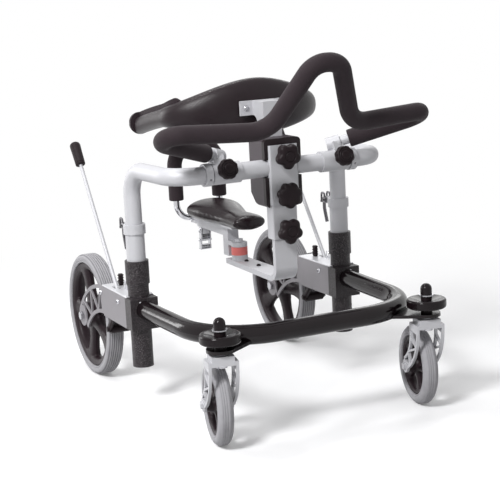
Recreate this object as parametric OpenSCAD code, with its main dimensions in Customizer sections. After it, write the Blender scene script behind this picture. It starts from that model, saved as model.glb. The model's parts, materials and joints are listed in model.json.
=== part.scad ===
// Gait trainer: a wheeled base, a height-adjustable upper frame, a handlebar, a chest support and a saddle.
// Millimetres, +Z up. The user faces -Y, so the user's right side is at -X.
// The columns stand in the plane Y = 0 and the wheels stand on Z = 0.

/* [Base frame] */
// Sideways distance from the centre plane to each column and rear wheel
column_x = 262; // [250:1:275]
// Outer diameter of the base tube
base_tube_d = 42; // [38:1:44]
// Wall of the base tube
base_tube_wall = 3; // [2:0.5:5]
// Rise of the base tube's axis above the underside of the caster plates
base_tube_rise = 15; // [12:1:18]
// Sideways distance to the corner where the side and the front bar of the base tube meet
base_corner_x = 249; // [238:1:258]
// Axis of the front bar
base_front_y = -382; // [-395:1:-365]
// Bend radius of the base tube's front corners
base_bend_r = 152; // [130:1:165]

/* [Columns] */
// Outer diameter of the column tubes
column_d = 48; // [46:1:51]
// Depth of the column below the base tube's axis
column_drop = 136; // [110:1:160]
// Rise of the column's thick top above the base tube's axis
column_top_rise = 56; // [48:1:70]
// Height of the column's thick top
column_top_h = 53; // [40:1:70]
// Diameter of the column's thick top
column_top_d = 54; // [52:1:60]
// Bore of the socket at the column's foot
socket_d = 40; // [36:0.5:41]
// Depth of the socket at the column's foot
socket_depth = 108; // [80:1:112]
// Outer diameter of the silver mid tubes
mid_tube_d = 43; // [42:0.5:44]
// Length of mid tube above the column
mid_tube_rise = 79; // [60:1:100]
// Length of mid tube inside the column
mid_tube_inside = 127; // [90:1:135]
// Outer diameter of the upper frame tube
frame_tube_d = 38; // [36:0.5:39]
// Wall of the upper frame tube
frame_tube_wall = 2.5; // [2:0.5:4]
// Diameter of the height clamp collars
collar_d = 50; // [48:1:56]
// Height of the height clamp collars
collar_h = 22; // [18:1:30]
// Length of the cam levers below their pivot
cam_lever_len = 56; // [35:1:65]

/* [Wheel brackets] */
// Half width of a wheel bracket, over its fork plates
bracket_half_w = 33; // [32:0.5:38]
// Thickness of the fork plates
fork_plate_t = 4; // [3:0.5:6]
// Height of the bracket above the base tube's axis
bracket_up = 26; // [24:1:30]
// Depth of the bracket below the base tube's axis
bracket_down = 46; // [36:1:54]
// Front face of the column block
block_front_y = -32; // [-38:1:-29]
// Rear face of the column block
block_rear_y = 64; // [58:1:66]
// Thickness of the bright bracket covers
cover_t = 3; // [2:0.5:5]
// Axle's distance behind the bracket covers
cover_to_axle = 161; // [156:1:170]
// Outer radius of the curved fork arms
fork_arm_r = 232; // [222:1:240]
// Depth of the curved fork arms
fork_arm_depth = 68; // [60:1:74]
// Radius of the fork's hub boss
hub_boss_r = 26; // [24:1:32]

/* [Rear wheels] */
// Diameter of the rear tyres
wheel_d = 300; // [290:1:310]
// Width of the rear tyres
wheel_w = 40; // [34:1:46]
// Diameter of the rear rims
rim_d = 259; // [245:1:268]
// Axle's distance behind the columns
wheel_y = 316; // [310:1:325]
// Diameter of the rear axles
axle_d = 12; // [10:1:14]
// Number of spokes
spoke_count = 5; // [3:1:8]

/* [Brakes] */
// Lean of the brake levers behind the vertical, in degrees
lever_lean = 36.5; // [30:0.5:40]
// Length of the brake levers from the pin to the tip
lever_len = 436; // [380:1:460]
// Diameter of the lever rods
lever_d = 9; // [8:0.5:12]
// Length of the lever grips
lever_grip_len = 60; // [50:1:90]
// Diameter of the lever grips
lever_grip_d = 26; // [22:1:30]
// Diameter of the brake rollers
roller_d = 24; // [20:1:28]
// Gap between the rollers and the tyres when released
roller_gap = 8; // [6:0.5:10]

/* [Casters] */
// Sideways distance to the caster swivels
caster_x = 245; // [240:1:255]
// Swivels' place along the frame
caster_y = -403; // [-412:1:-398]
// Diameter of the caster tyres
caster_d = 175; // [165:1:185]
// Width of the caster tyres
caster_w = 33; // [28:1:36]
// Trail of the caster wheels behind the swivel
caster_trail = 59; // [52:1:64]
// Turn of the casters at rest, in degrees
caster_turn = 11.5; // [0:0.5:20]
// Thickness of the caster plates
caster_plate_t = 7; // [5:0.5:9]
// Diameter of the bumper discs
bumper_d = 86; // [76:1:92]
// Height of the bumper discs
bumper_h = 20; // [16:1:24]

/* [Upper frame] */
// Rise of the lateral bar's axis above the mid tubes
bar_rise = 127.5; // [110:0.5:150]
// Axis of the lateral bar
bar_y = -218; // [-228:1:-210]
// Sideways distance to the corners of the lateral bar
bar_corner_x = 248; // [246:1:256]
// Bend radius of the upper frame tube
frame_bend_r = 60; // [50:1:62]
// Length of the frame legs inside the mid tubes
leg_inside = 166; // [120:1:190]
// Length of the centre sleeve above the lateral bar
sleeve_up = 49.5; // [44:0.5:60]
// Length of the centre sleeve below the lateral bar
sleeve_down = 78.5; // [72:0.5:90]
// Wall of the centre sleeve
sleeve_wall = 4.6; // [3:0.2:6]

/* [Handlebar] */
// Diameter of the foam cover
foam_d = 39; // [34:1:40]
// Diameter of the handlebar tube
bar_tube_d = 22; // [19:1:25]
// Sideways place of the foam's lower end
bar_end_x = 172; // [168:1:180]
// Rise of the foam's lower end above the lateral bar
bar_end_rise = 45; // [44:0.5:52]
// Sideways place of the handlebar's outer corner
bar_outer_x = 367; // [340:1:390]
// Reach of the outer corner ahead of the lateral bar
bar_outer_reach = 101; // [85:1:115]
// Rise of the outer corner above the lateral bar
bar_outer_rise = 106; // [95:1:120]
// Sideways place of the handlebar's inner corner
bar_inner_x = 96; // [90:1:110]
// Reach of the inner corner ahead of the lateral bar
bar_inner_reach = 147; // [140:1:160]
// Rise of the inner corner above the lateral bar
bar_inner_rise = 95.5; // [85:0.5:105]
// Half width of the handlebar's hump at its top corners
bar_top_x = 30; // [29:1:40]
// Reach of the hump's top ahead of the lateral bar
bar_top_reach = 228.5; // [215:0.5:240]
// Rise of the hump's top above the lateral bar
bar_top_rise = 230.5; // [210:0.5:245]

/* [Knobs] */
// Diameter of the star knobs on the posts
post_knob_d = 57; // [50:1:62]
// Diameter of the bar knobs
bar_knob_d = 45; // [38:1:48]

/* [Chest support] */
// Width of the chest post
chest_post_w = 44; // [38:1:48]
// Depth of the chest post
chest_post_d = 25; // [20:1:28]
// Rise of the bracket's middle above the lateral bar
chest_rise = 124.5; // [115:0.5:150]
// Half width of the chest pad between its shell and its liner
chest_half_w = 172; // [150:1:185]
// Depth of the pad's curved front
chest_curve = 96; // [80:1:115]
// Length of the pad's straight arms
chest_arm = 172; // [130:1:190]
// Height of the shell at the front
chest_front_h = 126; // [110:1:135]
// Height of the shell at the ends of its arms
chest_end_h = 40; // [34:1:50]
// Drop of the pad's middle from the front to the ends of its arms
chest_end_drop = 47; // [30:1:60]
// Bulge of the shell at the front
shell_bulge = 26; // [18:1:32]
// Thickness of the liner
liner_t = 24; // [16:1:30]

/* [Saddle] */
// Width of the saddle post
post_w = 60; // [54:1:64]
// Depth of the saddle post
post_d = 30; // [26:1:34]
// Wall of the saddle post
post_wall = 3; // [2:0.5:4]
// Top of the saddle post below the lateral bar
post_top_drop = 3.5; // [0:0.5:8]
// Length of the saddle post
post_len = 152; // [145:1:165]
// Thickness of the L arm
arm_t = 12; // [10:0.5:14]
// Height of the L arm below the post
arm_drop = 97; // [85:1:115]
// Rear end of the L arm
arm_end_y = 40; // [34:1:42]
// Swivel's place along the frame
swivel_y = 12; // [6:1:14]
// Height of the red swivel block
swivel_h = 19; // [14:1:24]
// Length of the saddle
saddle_len = 275; // [250:1:285]
// Width of the saddle's nose
nose_w = 82; // [70:1:90]
// Width of the saddle's rear
rear_w = 134; // [120:1:160]
// Thickness of the saddle at its rear
saddle_h = 42; // [36:1:48]
// Thickness of the saddle's nose
nose_h = 31; // [26:1:36]
// Half width of the backrest hoop
hoop_half_w = 58; // [54:1:70]
// Height of the backrest hoop
hoop_h = 182; // [160:1:220]
// Diameter of the hoop tube
hoop_d = 16; // [14:1:18]
// Diameter of the backrest foam
hoop_foam_d = 36; // [30:1:40]

/* [Hidden] */
$fn = 48;
// Overrun of cuts
cut = 2;
// Running clearance of shafts and sliding tubes
run_gap = 0.08;
// Seat clearance of fixed pieces
seat_gap = 0.2;
// Clearance of sliding square posts
slide_gap = 0.4;
// Clearance between soft pieces and what carries them
soft_gap = 0.3;
// Reach of a tube's straight legs into its bends
bend_lap = 1.5;
// Extra diameter of a tube in its bends
bend_swell = 0.2;

// Caster stack, from the tyre up
crown_gap = 12;
crown_h = 20;
thrust_h = 6;
lower_spacer_h = 11;
upper_spacer_h = 6;
washer_t = 2.5;
cap_h = 24.5;
crown_z = caster_d + crown_gap;
plate_z = crown_z + crown_h + thrust_h;
bumper_z = plate_z + caster_plate_t + lower_spacer_h;
upper_spacer_z = bumper_z + bumper_h;
washer_z = upper_spacer_z + upper_spacer_h;
cap_z = washer_z + washer_t;
kingpin_d = 16;
kingpin_head_d = 24;
kingpin_head_h = 6;
thrust_d = 30;
spacer_d = 25;
washer_d = 32;
cap_d = 25;
caster_plate_r = 30;
caster_plate_tail_w = 96;

// Heights of the frame
base_tube_z = plate_z + base_tube_rise;
column_z = base_tube_z - column_drop;
column_step_z = base_tube_z + column_top_rise;
column_top_z = column_step_z + column_top_h;
mid_tube_z = column_top_z - mid_tube_inside;
mid_top_z = column_top_z + mid_tube_rise;
bar_z = mid_top_z + bar_rise;
bracket_top_z = base_tube_z + bracket_up;
bracket_low_z = base_tube_z - bracket_down;
wheel_z = wheel_d / 2;

// Column block and fork plates
block_step_y = 4;
plate_in = bracket_half_w - fork_plate_t;
bracket_bolt_d = 8;
bolt_head_d = 14;
bolt_head_h = 5;
bolt_drop = 18;
bolt_z = bracket_top_z - bolt_drop;
block_bolt_in = 14;
front_bolt_y = block_rear_y - block_bolt_in;
tyre_bolt_gap = 22;
rear_bolt_y = wheel_y - sqrt(pow(wheel_z + tyre_bolt_gap, 2) - pow(bolt_z - wheel_z, 2));
pin_behind = 16;
pin_y = block_rear_y + pin_behind;
pin_drop = 32;
pin_z = bracket_top_z - pin_drop;
pin_d = 10;
fork_rim = 9;
fork_strut_w = 6;
fork_bays = 5;
fork_gap_turn = 4.5;
cover_rear_y = wheel_y - cover_to_axle;
fork_centre = [cover_rear_y, bracket_top_z - fork_arm_r];
hub_turn = atan2(wheel_z - fork_centre.y, wheel_y - fork_centre.x);
cover_front_y = -5;
axle_head_d = 21;
axle_head_h = 8;

// Height clamps
lug_w = 10;
lug_reach = 38;
lug_drop = 7;
cam_pin_d = 6;
cam_gap = 0.5;
cam_side_t = 4;
cam_w = 17;
cam_rim = 5;
collar_lip = 4;
collar_z = mid_top_z + collar_lip - collar_h;
cam_y = collar_d / 2 + lug_reach - cam_w / 2;
cam_z = mid_top_z - lug_drop;

// Rear wheel
tyre_shoulder_r = 9;
groove_w = 1.6;
groove_depth = 1.2;
groove_pitch = 6;
groove_count = 4;
rim_ring_t = 15;
rim_ring_w = 34;
hub_d = 60;
spoke_t = 24;
spoke_valley_r = 38;
spoke_rim_w = 34;
spoke_phase = 7;

// Brake
arm_plate_t = 4;
arm_plate_w = 17;
arm_side_gap = 1.6;
lever_hub_d = 20;
lever_side = 14;
roller_pin_d = 8;
roller_head_d = 14;
roller_head_h = 4;
arm_plate_x = plate_in - arm_side_gap - arm_plate_t;
roller_half_w = arm_plate_x - cam_gap;
roller_y = wheel_y - wheel_z - roller_d / 2 - roller_gap;
roller_z = wheel_z;
lever_way = [0, sin(lever_lean), cos(lever_lean)];
slot_w = 15;
slot_len = 34;
catch_w = 10;
catch_len = 12;
catch_h = 27;
catch_side = 3;
catch_behind = 12;
stud_d = 7;
stud_h = 20;
stud_ahead = 34;
stud_side = 4;

// Caster fork and wheel
fork_side_gap = 9;
caster_arm_t = 6;
shoulder_h = 9;
shoulder_step = 8;
crown_front = 22;
crown_rear = 24;
caster_arm_in = caster_w / 2 + fork_side_gap;
caster_arm_out = caster_arm_in + caster_arm_t;
caster_arm_r = 112;
caster_arm_depth = 42;
caster_arm_rim = 6;
caster_strut_w = 4.5;
caster_bays = 4;
caster_gap_turn = 6;
caster_taper = [4, -16];
caster_boss_r = 15;
caster_axle_d = 10;
caster_axle_head_d = 17;
caster_axle_head_h = 5;
caster_rim_d = 132;
caster_shoulder_r = 8;
caster_hub_d = 40;
caster_ring_t = 10;
caster_spoke_t = 16;
caster_valley_r = 24;
caster_spoke_rim_w = 20;
caster_groove_count = 2;
caster_arm_centre = [caster_arm_r - crown_front, crown_z];
caster_arm_turn = atan2(caster_d / 2 - crown_z, caster_trail - caster_arm_centre.x);
lock_sleeve_d = 15;
lock_sleeve_len = 17;
lock_pin_d = 8;
lock_pin_depth = 12;
lock_knob_d = 18;
lock_knob_len = 18;
lock_knob_gap = 1;
lock_z = crown_z + crown_h / 2;

// Bumper
bumper_edge_r = 5;
bumper_lip = 4;
bumper_dish = 5;

// Centre sleeve, housing and posts
sleeve_w = post_w + 2 * (slide_gap + sleeve_wall);
sleeve_d = post_d + 2 * (slide_gap + sleeve_wall);
sleeve_corner_r = 5;
post_corner_r = 3;
sleeve_front_y = bar_y - sleeve_d / 2;
sleeve_rear_y = bar_y + sleeve_d / 2;
post_front_y = bar_y - post_d / 2;
housing_wall = 8.5;
housing_set_back = 4;
housing_corner_r = 9;
housing_web = 4;
housing_front_y = sleeve_front_y + housing_set_back;
housing_up = 63.5;
housing_down = 84;
housing_cut = 38;
chest_post_y = sleeve_rear_y + soft_gap + housing_web + slide_gap + chest_post_d / 2;
housing_rear_y = chest_post_y + chest_post_d / 2 + slide_gap + housing_wall;
upper_knob_rise = 26.5;
middle_knob_drop = 58;
lower_knob_rise = 19;
screw_d = 8;

// Knobs
knob_stem_d = 24;
knob_stem_len = 9;
knob_head_h = 24;
knob_lobes = 5;
middle_knob_lobes = 7;
knob_dip = 5.5;
middle_knob_dip = 4;
knob_ring_d = 24;
knob_ring_w = 2;
knob_ring_depth = 1.5;
bar_knob_stem_d = 18;
bar_knob_stem_len = 6;
bar_knob_head_h = 20;
bar_knob_lobes = 8;
bar_knob_dip = 2.5;
bar_knob_lift = 19.5;
scallop_share = 0.42;

// Handlebar
outer_bend_r = 35;
inner_bend_r = 67;
top_bend_r = 41;
bar_hidden = 45;
boss_len = 26;
boss_d = 32;
fitting_in_x = 98;
fitting_len = 66;
fitting_d = 46;
fitting_knob_x = 140;
fitting_gap = 2;
fitting_web = 24;
bar_collar_w = 16;
bar_collar_d = 49;
bar_collar_x = fitting_in_x + fitting_len + fitting_gap;

// Chest support
chest_z = bar_z + chest_rise;
chest_plate_w = 104;
chest_plate_h = 32;
chest_plate_t = 6;
chest_bolt_x = 38;
chest_bolt_d = 6;
chest_bolt_head_d = 12;
chest_bolt_head_h = 4.5;
chest_post_low = 203;
neck_r = 20;
chest_reach = 25;
chest_plate_y = chest_post_y + chest_post_d / 2 + chest_reach;
chest_front_y = chest_plate_y + chest_plate_t + soft_gap + shell_bulge;
shell_end_share = 0.62;
taper_share = 0.66;
drop_power = 1.8;
liner_over = 9;
liner_over_share = 0.4;
liner_roll = 36;
roll_wrap = 8;
roll_turns = [0, 30, 58, 80];
roll_open = 155;
curve_steps = 14;
arm_steps = 6;
section_steps = 12;
pad_square_share = 0.9;
section_square_share = 0.65;

// Saddle
post_low_z = bar_z - post_top_drop - post_len;
arm_z = post_low_z - arm_drop;
arm_top_z = arm_z + arm_t;
tongue_len = 84;
arm_bend_r = 32;
arm_end_w = 46;
arm_hole_d = 9;
arm_hole_front_y = -88;
arm_hole_pitch = 64;
swivel_base_h = 11;
swivel_d = 38;
swivel_pin_d = 12;
swivel_head_d = 20;
swivel_head_h = 7;
swivel_plate_h = 10;
swivel_z = arm_top_z + swivel_base_h;
carrier_plate_z = swivel_z + swivel_h + soft_gap;
carrier_w = 28;
carrier_tube = 26;
carrier_lift = 9;
carrier_tube_z = carrier_plate_z + swivel_plate_h + carrier_lift;
carrier_gap = 3;
mast_y = arm_end_y + carrier_gap;
saddle_front_y = -70;
pan_t = 5;
pan_w = 56;
pan_z = carrier_tube_z + carrier_tube;
saddle_z = pan_z + pan_t + soft_gap;
pan_inset = 60;
pan_front_y = saddle_front_y + pan_inset;
pan_rear_y = saddle_front_y + saddle_len - pan_inset / 2;
nose_share = 0.3;
flare_share = 0.47;
end_share = 0.15;
crown_share = 0.16;
underside_share = 0.8;
saddle_rings = 26;
saddle_points = 28;
hoop_gap = 17;
hoop_drop = 4;
hoop_y = saddle_front_y + saddle_len + hoop_foam_d / 2 + hoop_gap;
hoop_z = pan_z - hoop_drop;
hoop_corner_r = 36;
hoop_top_gap = 4;
hoop_foam_rise = 46;
clamp_w = 34;
clamp_rim = 7;
latch_pin_d = 5;
latch_len = 34;
latch_side_t = 5;
latch_rim = 3;
latch_w = 16;
latch_foot = 14;
latch_head_d = 14;
latch_head_h = 4;
latch_gap = 1;
latch_y = hoop_y - hoop_d / 2 - clamp_rim - latch_w;
latch_z = carrier_tube_z - latch_w / 2 - latch_gap;

RIGHT = -1;
LEFT = 1;
SIDES = [RIGHT, LEFT];

// Vectors and bent tubes

function unit(v) = v / norm(v);
function leg_way(p, i) = unit(p[i + 1] - p[i]);
function turn_at(p, i) = acos(leg_way(p, i - 1) * leg_way(p, i));
function setback(p, i, bend_r) = bend_r * tan(turn_at(p, i) / 2);
function mirrored(half) = [for (i = [len(half) - 1:-1:0]) [-half[i].x, half[i].y, half[i].z]];
function there_and_back(half) = concat(half, mirrored(half));
function lengthened(p) = [
    for (i = [0:len(p) - 1])
        i == 0 ? p[0] - leg_way(p, 0) * cut
        : i == len(p) - 1 ? p[i] + leg_way(p, i - 1) * cut
        : p[i]
];
function inward_at(p, i) = unit(leg_way(p, i) - leg_way(p, i - 1) * (leg_way(p, i) * leg_way(p, i - 1)));

module along(a, b) {
    way = b - a;
    translate(a) rotate([0, acos(way.z / norm(way)), atan2(way.y, way.x)]) children();
}

module rod(a, b, d) {
    along(a, b) cylinder(h = norm(b - a), d = d);
}

// One bend of a rod, at point i of its path
module rod_bend(p, i, bend_r, d) {
    ahead = leg_way(p, i - 1);
    inward = inward_at(p, i);
    centre = p[i] - ahead * setback(p, i, bend_r) + inward * bend_r;
    spin = cross(-inward, ahead);
    multmatrix([
        [-inward.x, ahead.x, spin.x, centre.x],
        [-inward.y, ahead.y, spin.y, centre.y],
        [-inward.z, ahead.z, spin.z, centre.z],
        [0, 0, 0, 1]
    ])
        rotate_extrude(angle = turn_at(p, i)) translate([bend_r, 0]) circle(d = d);
}

// A round rod along a path, a trace thicker in its bends, which the straight legs reach into
module bent_rod(p, bends, d) {
    last = len(p) - 2;
    for (i = [0:last]) {
        start_cut = i == 0 ? 0 : setback(p, i, bends[i - 1]) - bend_lap;
        end_cut = i == last ? 0 : setback(p, i + 1, bends[i]) - bend_lap;
        rod(p[i] + leg_way(p, i) * start_cut, p[i + 1] - leg_way(p, i) * end_cut, d);
    }
    for (i = [1:last])
        rod_bend(p, i, bends[i - 1], d + bend_swell);
}

module bent_tube(p, bends, d, bore) {
    difference() {
        bent_rod(p, bends, d);
        bent_rod(lengthened(p), bends, bore);
    }
}

// Plain shapes that repeat

module tube(d, bore, h) {
    difference() {
        cylinder(d = d, h = h);
        translate([0, 0, -cut]) cylinder(d = bore, h = h + 2 * cut);
    }
}

// A cylinder along X, centred on the origin
module cross_pin(d, len) {
    rotate([0, 90, 0]) cylinder(d = d, h = len, center = true);
}

// Round heads outside a pin's two ends
module cross_pin_heads(half_len, d, h) {
    for (x = [-half_len - h, half_len])
        translate([x, 0, 0]) rotate([0, 90, 0]) cylinder(d = d, h = h);
}

module rounded_rect(w, d, r) {
    square([w - 2 * r, d], center = true);
    square([w, d - 2 * r], center = true);
    for (x = [-1, 1], y = [-1, 1])
        translate([x * (w / 2 - r), y * (d / 2 - r)]) circle(r);
}

// A flat bar between two points of a plane
module bar_2d(a, b, w) {
    way = b - a;
    translate(a) rotate(atan2(way.y, way.x)) translate([0, -w / 2]) square([norm(way), w]);
}

// A flat shape drawn in the Y-Z plane, with thickness along X from x
module upright(x, t) {
    translate([x, 0, 0])
        multmatrix([[0, 0, 1, 0], [1, 0, 0, 0], [0, 1, 0, 0], [0, 0, 0, 1]])
            linear_extrude(t) children();
}

function on_arc(centre, r, a) = centre + r * [cos(a), sin(a)];

module wedge(centre, r, from, to) {
    polygon([
        centre,
        on_arc(centre, 2 * r, from),
        on_arc(centre, 2 * r, (from + to) / 2),
        on_arc(centre, 2 * r, to)
    ]);
}

// Part of a ring, whose inner circle may be shifted so that the ring tapers
module ring_part(centre, r_in, r_out, from, to, taper = [0, 0]) {
    intersection() {
        difference() {
            translate(centre) circle(r_out, $fn = 4 * $fn);
            translate(centre + taper) circle(r_in, $fn = 4 * $fn);
        }
        wedge(centre, r_out, from, to);
    }
}

// A curved arm cut out between two rims, with slanting struts left standing
module truss_windows(centre, r_in, r_out, from, to, strut_w, bays, taper = [0, 0]) {
    step = (to - from) / bays;
    inner = centre + taper;
    difference() {
        ring_part(centre, r_in, r_out, from, to, taper);
        for (i = [0:bays - 1]) {
            a = from + i * step;
            b = from + (i + 1) * step;
            if (i % 2 == 0)
                bar_2d(on_arc(inner, r_in - strut_w, a), on_arc(centre, r_out + strut_w, b), strut_w);
            else
                bar_2d(on_arc(centre, r_out + strut_w, a), on_arc(inner, r_in - strut_w, b), strut_w);
        }
    }
}

// A hexagon head along +Z
module hex_head(d, h) {
    cylinder(d = d, h = h, $fn = 6);
}

// A star knob along +Z, with its screw below the origin and a ring groove in its face
module star_knob(d, lobes, dip, stem_d, stem_len, head_h, screw_len) {
    scallop_r = d * sin(180 / lobes) * scallop_share;
    translate([0, 0, -screw_len]) cylinder(d = screw_d, h = screw_len + cut);
    cylinder(d = stem_d, h = stem_len + cut);
    translate([0, 0, stem_len])
        difference() {
            linear_extrude(head_h)
                difference() {
                    circle(d = d);
                    for (i = [0:lobes - 1])
                        rotate((i + 1 / 2) * 360 / lobes)
                            translate([d / 2 - dip + scallop_r, 0]) circle(scallop_r);
                }
            translate([0, 0, head_h - knob_ring_depth])
                tube(knob_ring_d, knob_ring_d - 2 * knob_ring_w, knob_ring_depth + cut);
        }
}

// A tyre's section, to be turned about the wheel's axis
module tyre_section(d, bore, w, shoulder_r, grooves) {
    side = w / 2 - shoulder_r;
    difference() {
        union() {
            translate([bore / 2, -w / 2]) square([(d - bore) / 2 - shoulder_r, w]);
            translate([bore / 2, -side]) square([(d - bore) / 2, 2 * side]);
            for (y = [-side, side])
                translate([d / 2 - shoulder_r, y]) circle(shoulder_r);
        }
        for (i = [0:grooves - 1])
            translate([d / 2 - groove_depth, (i - (grooves - 1) / 2) * groove_pitch - groove_w / 2])
                square([groove_depth + cut, groove_w]);
    }
}

// The outline of all the spokes together: they meet in a valley between each two
function spoke_points(spokes, reach, end_w, valley_r) = [
    for (i = [0:spokes - 1])
        let (a = i * 360 / spokes, way = [cos(a), sin(a)], side = [-sin(a), cos(a)])
            each [
                reach * way - end_w / 2 * side,
                reach * way + end_w / 2 * side,
                on_arc([0, 0], valley_r, a + 180 / spokes)
            ]
];

// A spoked rim about X, with its hub and axle bore
module spoked_rim(d, ring_w, ring_t, hub, hub_len, bore, spokes, thick, valley_r, end_w, phase) {
    rotate([0, 90, 0])
        rotate(phase)
            difference() {
                union() {
                    rotate(180 / spokes) {
                        translate([0, 0, -ring_w / 2]) tube(d, d - 2 * ring_t, ring_w);
                        translate([0, 0, -hub_len / 2]) cylinder(d = hub, h = hub_len);
                    }
                    translate([0, 0, -thick / 2])
                        linear_extrude(thick)
                            polygon(spoke_points(spokes, d / 2 - ring_t / 2, end_w, valley_r));
                }
                cylinder(d = bore, h = hub_len + 2 * cut, center = true);
            }
}

// Base frame

base_path = there_and_back([
    [column_x, 0, base_tube_z],
    [base_corner_x, base_front_y, base_tube_z]
]);
base_bends = [base_bend_r, base_bend_r];
base_bend_in = unit(leg_way(base_path, 1) - leg_way(base_path, 0));

module block_outline() {
    translate([-bracket_half_w, block_front_y])
        square([2 * bracket_half_w, block_step_y - block_front_y]);
    translate([-plate_in, block_front_y]) square([2 * plate_in, block_rear_y - block_front_y]);
}

module at_columns() {
    for (s = SIDES)
        translate([s * column_x, 0, 0]) scale_side(s) children();
}

// Turns a piece drawn for the left side into the right side's mirror image
module scale_side(s) {
    mirror([s == RIGHT ? 1 : 0, 0, 0]) children();
}

module base_tube() {
    color("#1c1b1d")
        difference() {
            bent_tube(base_path, base_bends, base_tube_d, base_tube_d - 2 * base_tube_wall);
            at_columns()
                translate([0, 0, bracket_low_z - cut])
                    linear_extrude(bracket_top_z - bracket_low_z + 2 * cut) block_outline();
        }
}

module columns() {
    bore = mid_tube_d + 2 * seat_gap;
    color("#242226")
        at_columns()
            difference() {
                union() {
                    translate([0, 0, column_z])
                        cylinder(d = column_d, h = column_step_z - column_z);
                    translate([0, 0, column_step_z]) cylinder(d = column_top_d, h = column_top_h);
                }
                translate([0, 0, column_z - cut])
                    cylinder(d = socket_d, h = socket_depth + 2 * cut);
                translate([0, 0, column_z + socket_depth])
                    cylinder(d = bore, h = column_top_z - column_z - socket_depth + cut);
            }
}

module mid_tubes() {
    color("#c9cacd")
        at_columns()
            translate([0, 0, mid_tube_z])
                tube(mid_tube_d, frame_tube_d + 2 * run_gap, mid_top_z - mid_tube_z);
}

module height_collars() {
    color("#d4d5d8")
        at_columns()
            difference() {
                union() {
                    translate([0, 0, collar_z]) cylinder(d = collar_d, h = collar_h);
                    translate([-lug_w / 2, 0, cam_z - cam_w / 2]) cube([lug_w, cam_y, cam_w]);
                    translate([0, cam_y, cam_z]) cross_pin(cam_w, lug_w);
                }
                translate([0, 0, collar_z - cut])
                    cylinder(d = mid_tube_d + 2 * seat_gap, h = collar_h - collar_lip + cut);
                translate([0, 0, collar_z])
                    cylinder(d = frame_tube_d + 2 * slide_gap, h = collar_h + cut);
                translate([0, cam_y, cam_z]) cross_pin(cam_pin_d + 2 * run_gap, lug_w + 2 * cut);
            }
}

module column_blocks() {
    color("#232124")
        at_columns()
            difference() {
                translate([0, 0, bracket_low_z])
                    linear_extrude(bracket_top_z - bracket_low_z) block_outline();
                translate([0, 0, bracket_low_z - cut])
                    cylinder(d = column_d + 2 * seat_gap, h = bracket_top_z - bracket_low_z + 2 * cut);
                translate([0, front_bolt_y, bolt_z])
                    cross_pin(bracket_bolt_d + 2 * seat_gap, 2 * bracket_half_w);
            }
}

module fork_plate_outline() {
    r_in = fork_arm_r - fork_arm_depth;
    difference() {
        union() {
            translate([block_step_y, bracket_low_z])
                square([fork_centre.x - block_step_y, fork_arm_depth]);
            translate([block_step_y, bracket_low_z])
                square([block_rear_y - block_step_y, bracket_top_z - bracket_low_z]);
            translate([block_step_y, bracket_top_z - fork_arm_depth])
                square([fork_centre.x - block_step_y, fork_arm_depth]);
            ring_part(fork_centre, r_in, fork_arm_r, hub_turn, 90);
            translate([wheel_y, wheel_z]) circle(hub_boss_r);
        }
        difference() {
            truss_windows(
                fork_centre, r_in + fork_rim, fork_arm_r - fork_rim,
                hub_turn, 90 - fork_gap_turn, fork_strut_w, fork_bays
            );
            translate([wheel_y, wheel_z]) circle(hub_boss_r);
        }
        translate([wheel_y, wheel_z]) circle(d = axle_d + 2 * seat_gap);
        for (y = [front_bolt_y, rear_bolt_y])
            translate([y, bolt_z]) circle(d = bracket_bolt_d + 2 * seat_gap);
        translate([pin_y, pin_z]) circle(d = pin_d + 2 * seat_gap);
    }
}

module fork_plates() {
    color("#8b898d")
        at_columns()
            for (x = [-bracket_half_w, plate_in])
                upright(x, fork_plate_t) fork_plate_outline();
}

module bracket_covers() {
    slot_y = pin_y + (bracket_top_z - pin_z) * tan(lever_lean);
    color("#dcdde0")
        at_columns()
            translate([0, 0, bracket_top_z])
                linear_extrude(cover_t)
                    difference() {
                        translate([-bracket_half_w, cover_front_y])
                            square([2 * bracket_half_w, cover_rear_y - cover_front_y]);
                        circle(d = column_d + 2 * slide_gap);
                        translate([-column_d / 2, cover_front_y - cut])
                            square([column_d, cut - cover_front_y]);
                        translate([lever_side - slot_w / 2, slot_y - slot_len / 2])
                            square([slot_w, slot_len]);
                    }
}

// Hexagon heads on both ends of a pin along X
module outer_heads(half_len, d, h) {
    for (s = SIDES)
        scale_side(s)
            translate([half_len, 0, 0]) rotate([0, 90, 0]) hex_head(d, h);
}

module bracket_bolts() {
    color("#b9babd")
        at_columns() {
            for (y = [front_bolt_y, rear_bolt_y])
                translate([0, y, bolt_z]) {
                    cross_pin(bracket_bolt_d, 2 * bracket_half_w);
                    outer_heads(bracket_half_w, bolt_head_d, bolt_head_h);
                }
            translate([0, pin_y, pin_z]) cross_pin(pin_d, 2 * bracket_half_w);
        }
}

module brake_catches() {
    slot_y = pin_y + (bracket_top_z - pin_z) * tan(lever_lean);
    color("#19181a")
        at_columns()
            translate([0, 0, bracket_top_z + cover_t]) {
                translate([-catch_side - catch_w / 2, slot_y + catch_behind, 0])
                    cube([catch_w, catch_len, catch_h]);
                translate([stud_side, slot_y - stud_ahead, 0]) cylinder(d = stud_d, h = stud_h);
            }
}

module rear_axles() {
    color("#b9babd")
        at_columns()
            translate([0, wheel_y, wheel_z]) {
                cross_pin(axle_d, 2 * bracket_half_w);
                outer_heads(bracket_half_w, axle_head_d, axle_head_h);
            }
}

// Rear wheels

module at_wheel(s) {
    translate([s * column_x, wheel_y, wheel_z]) children();
}

module rear_tyre(s) {
    color("#8d8c8f")
        at_wheel(s)
            rotate([0, 90, 0])
                rotate_extrude()
                    tyre_section(wheel_d, rim_d, wheel_w, tyre_shoulder_r, groove_count);
}

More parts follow.
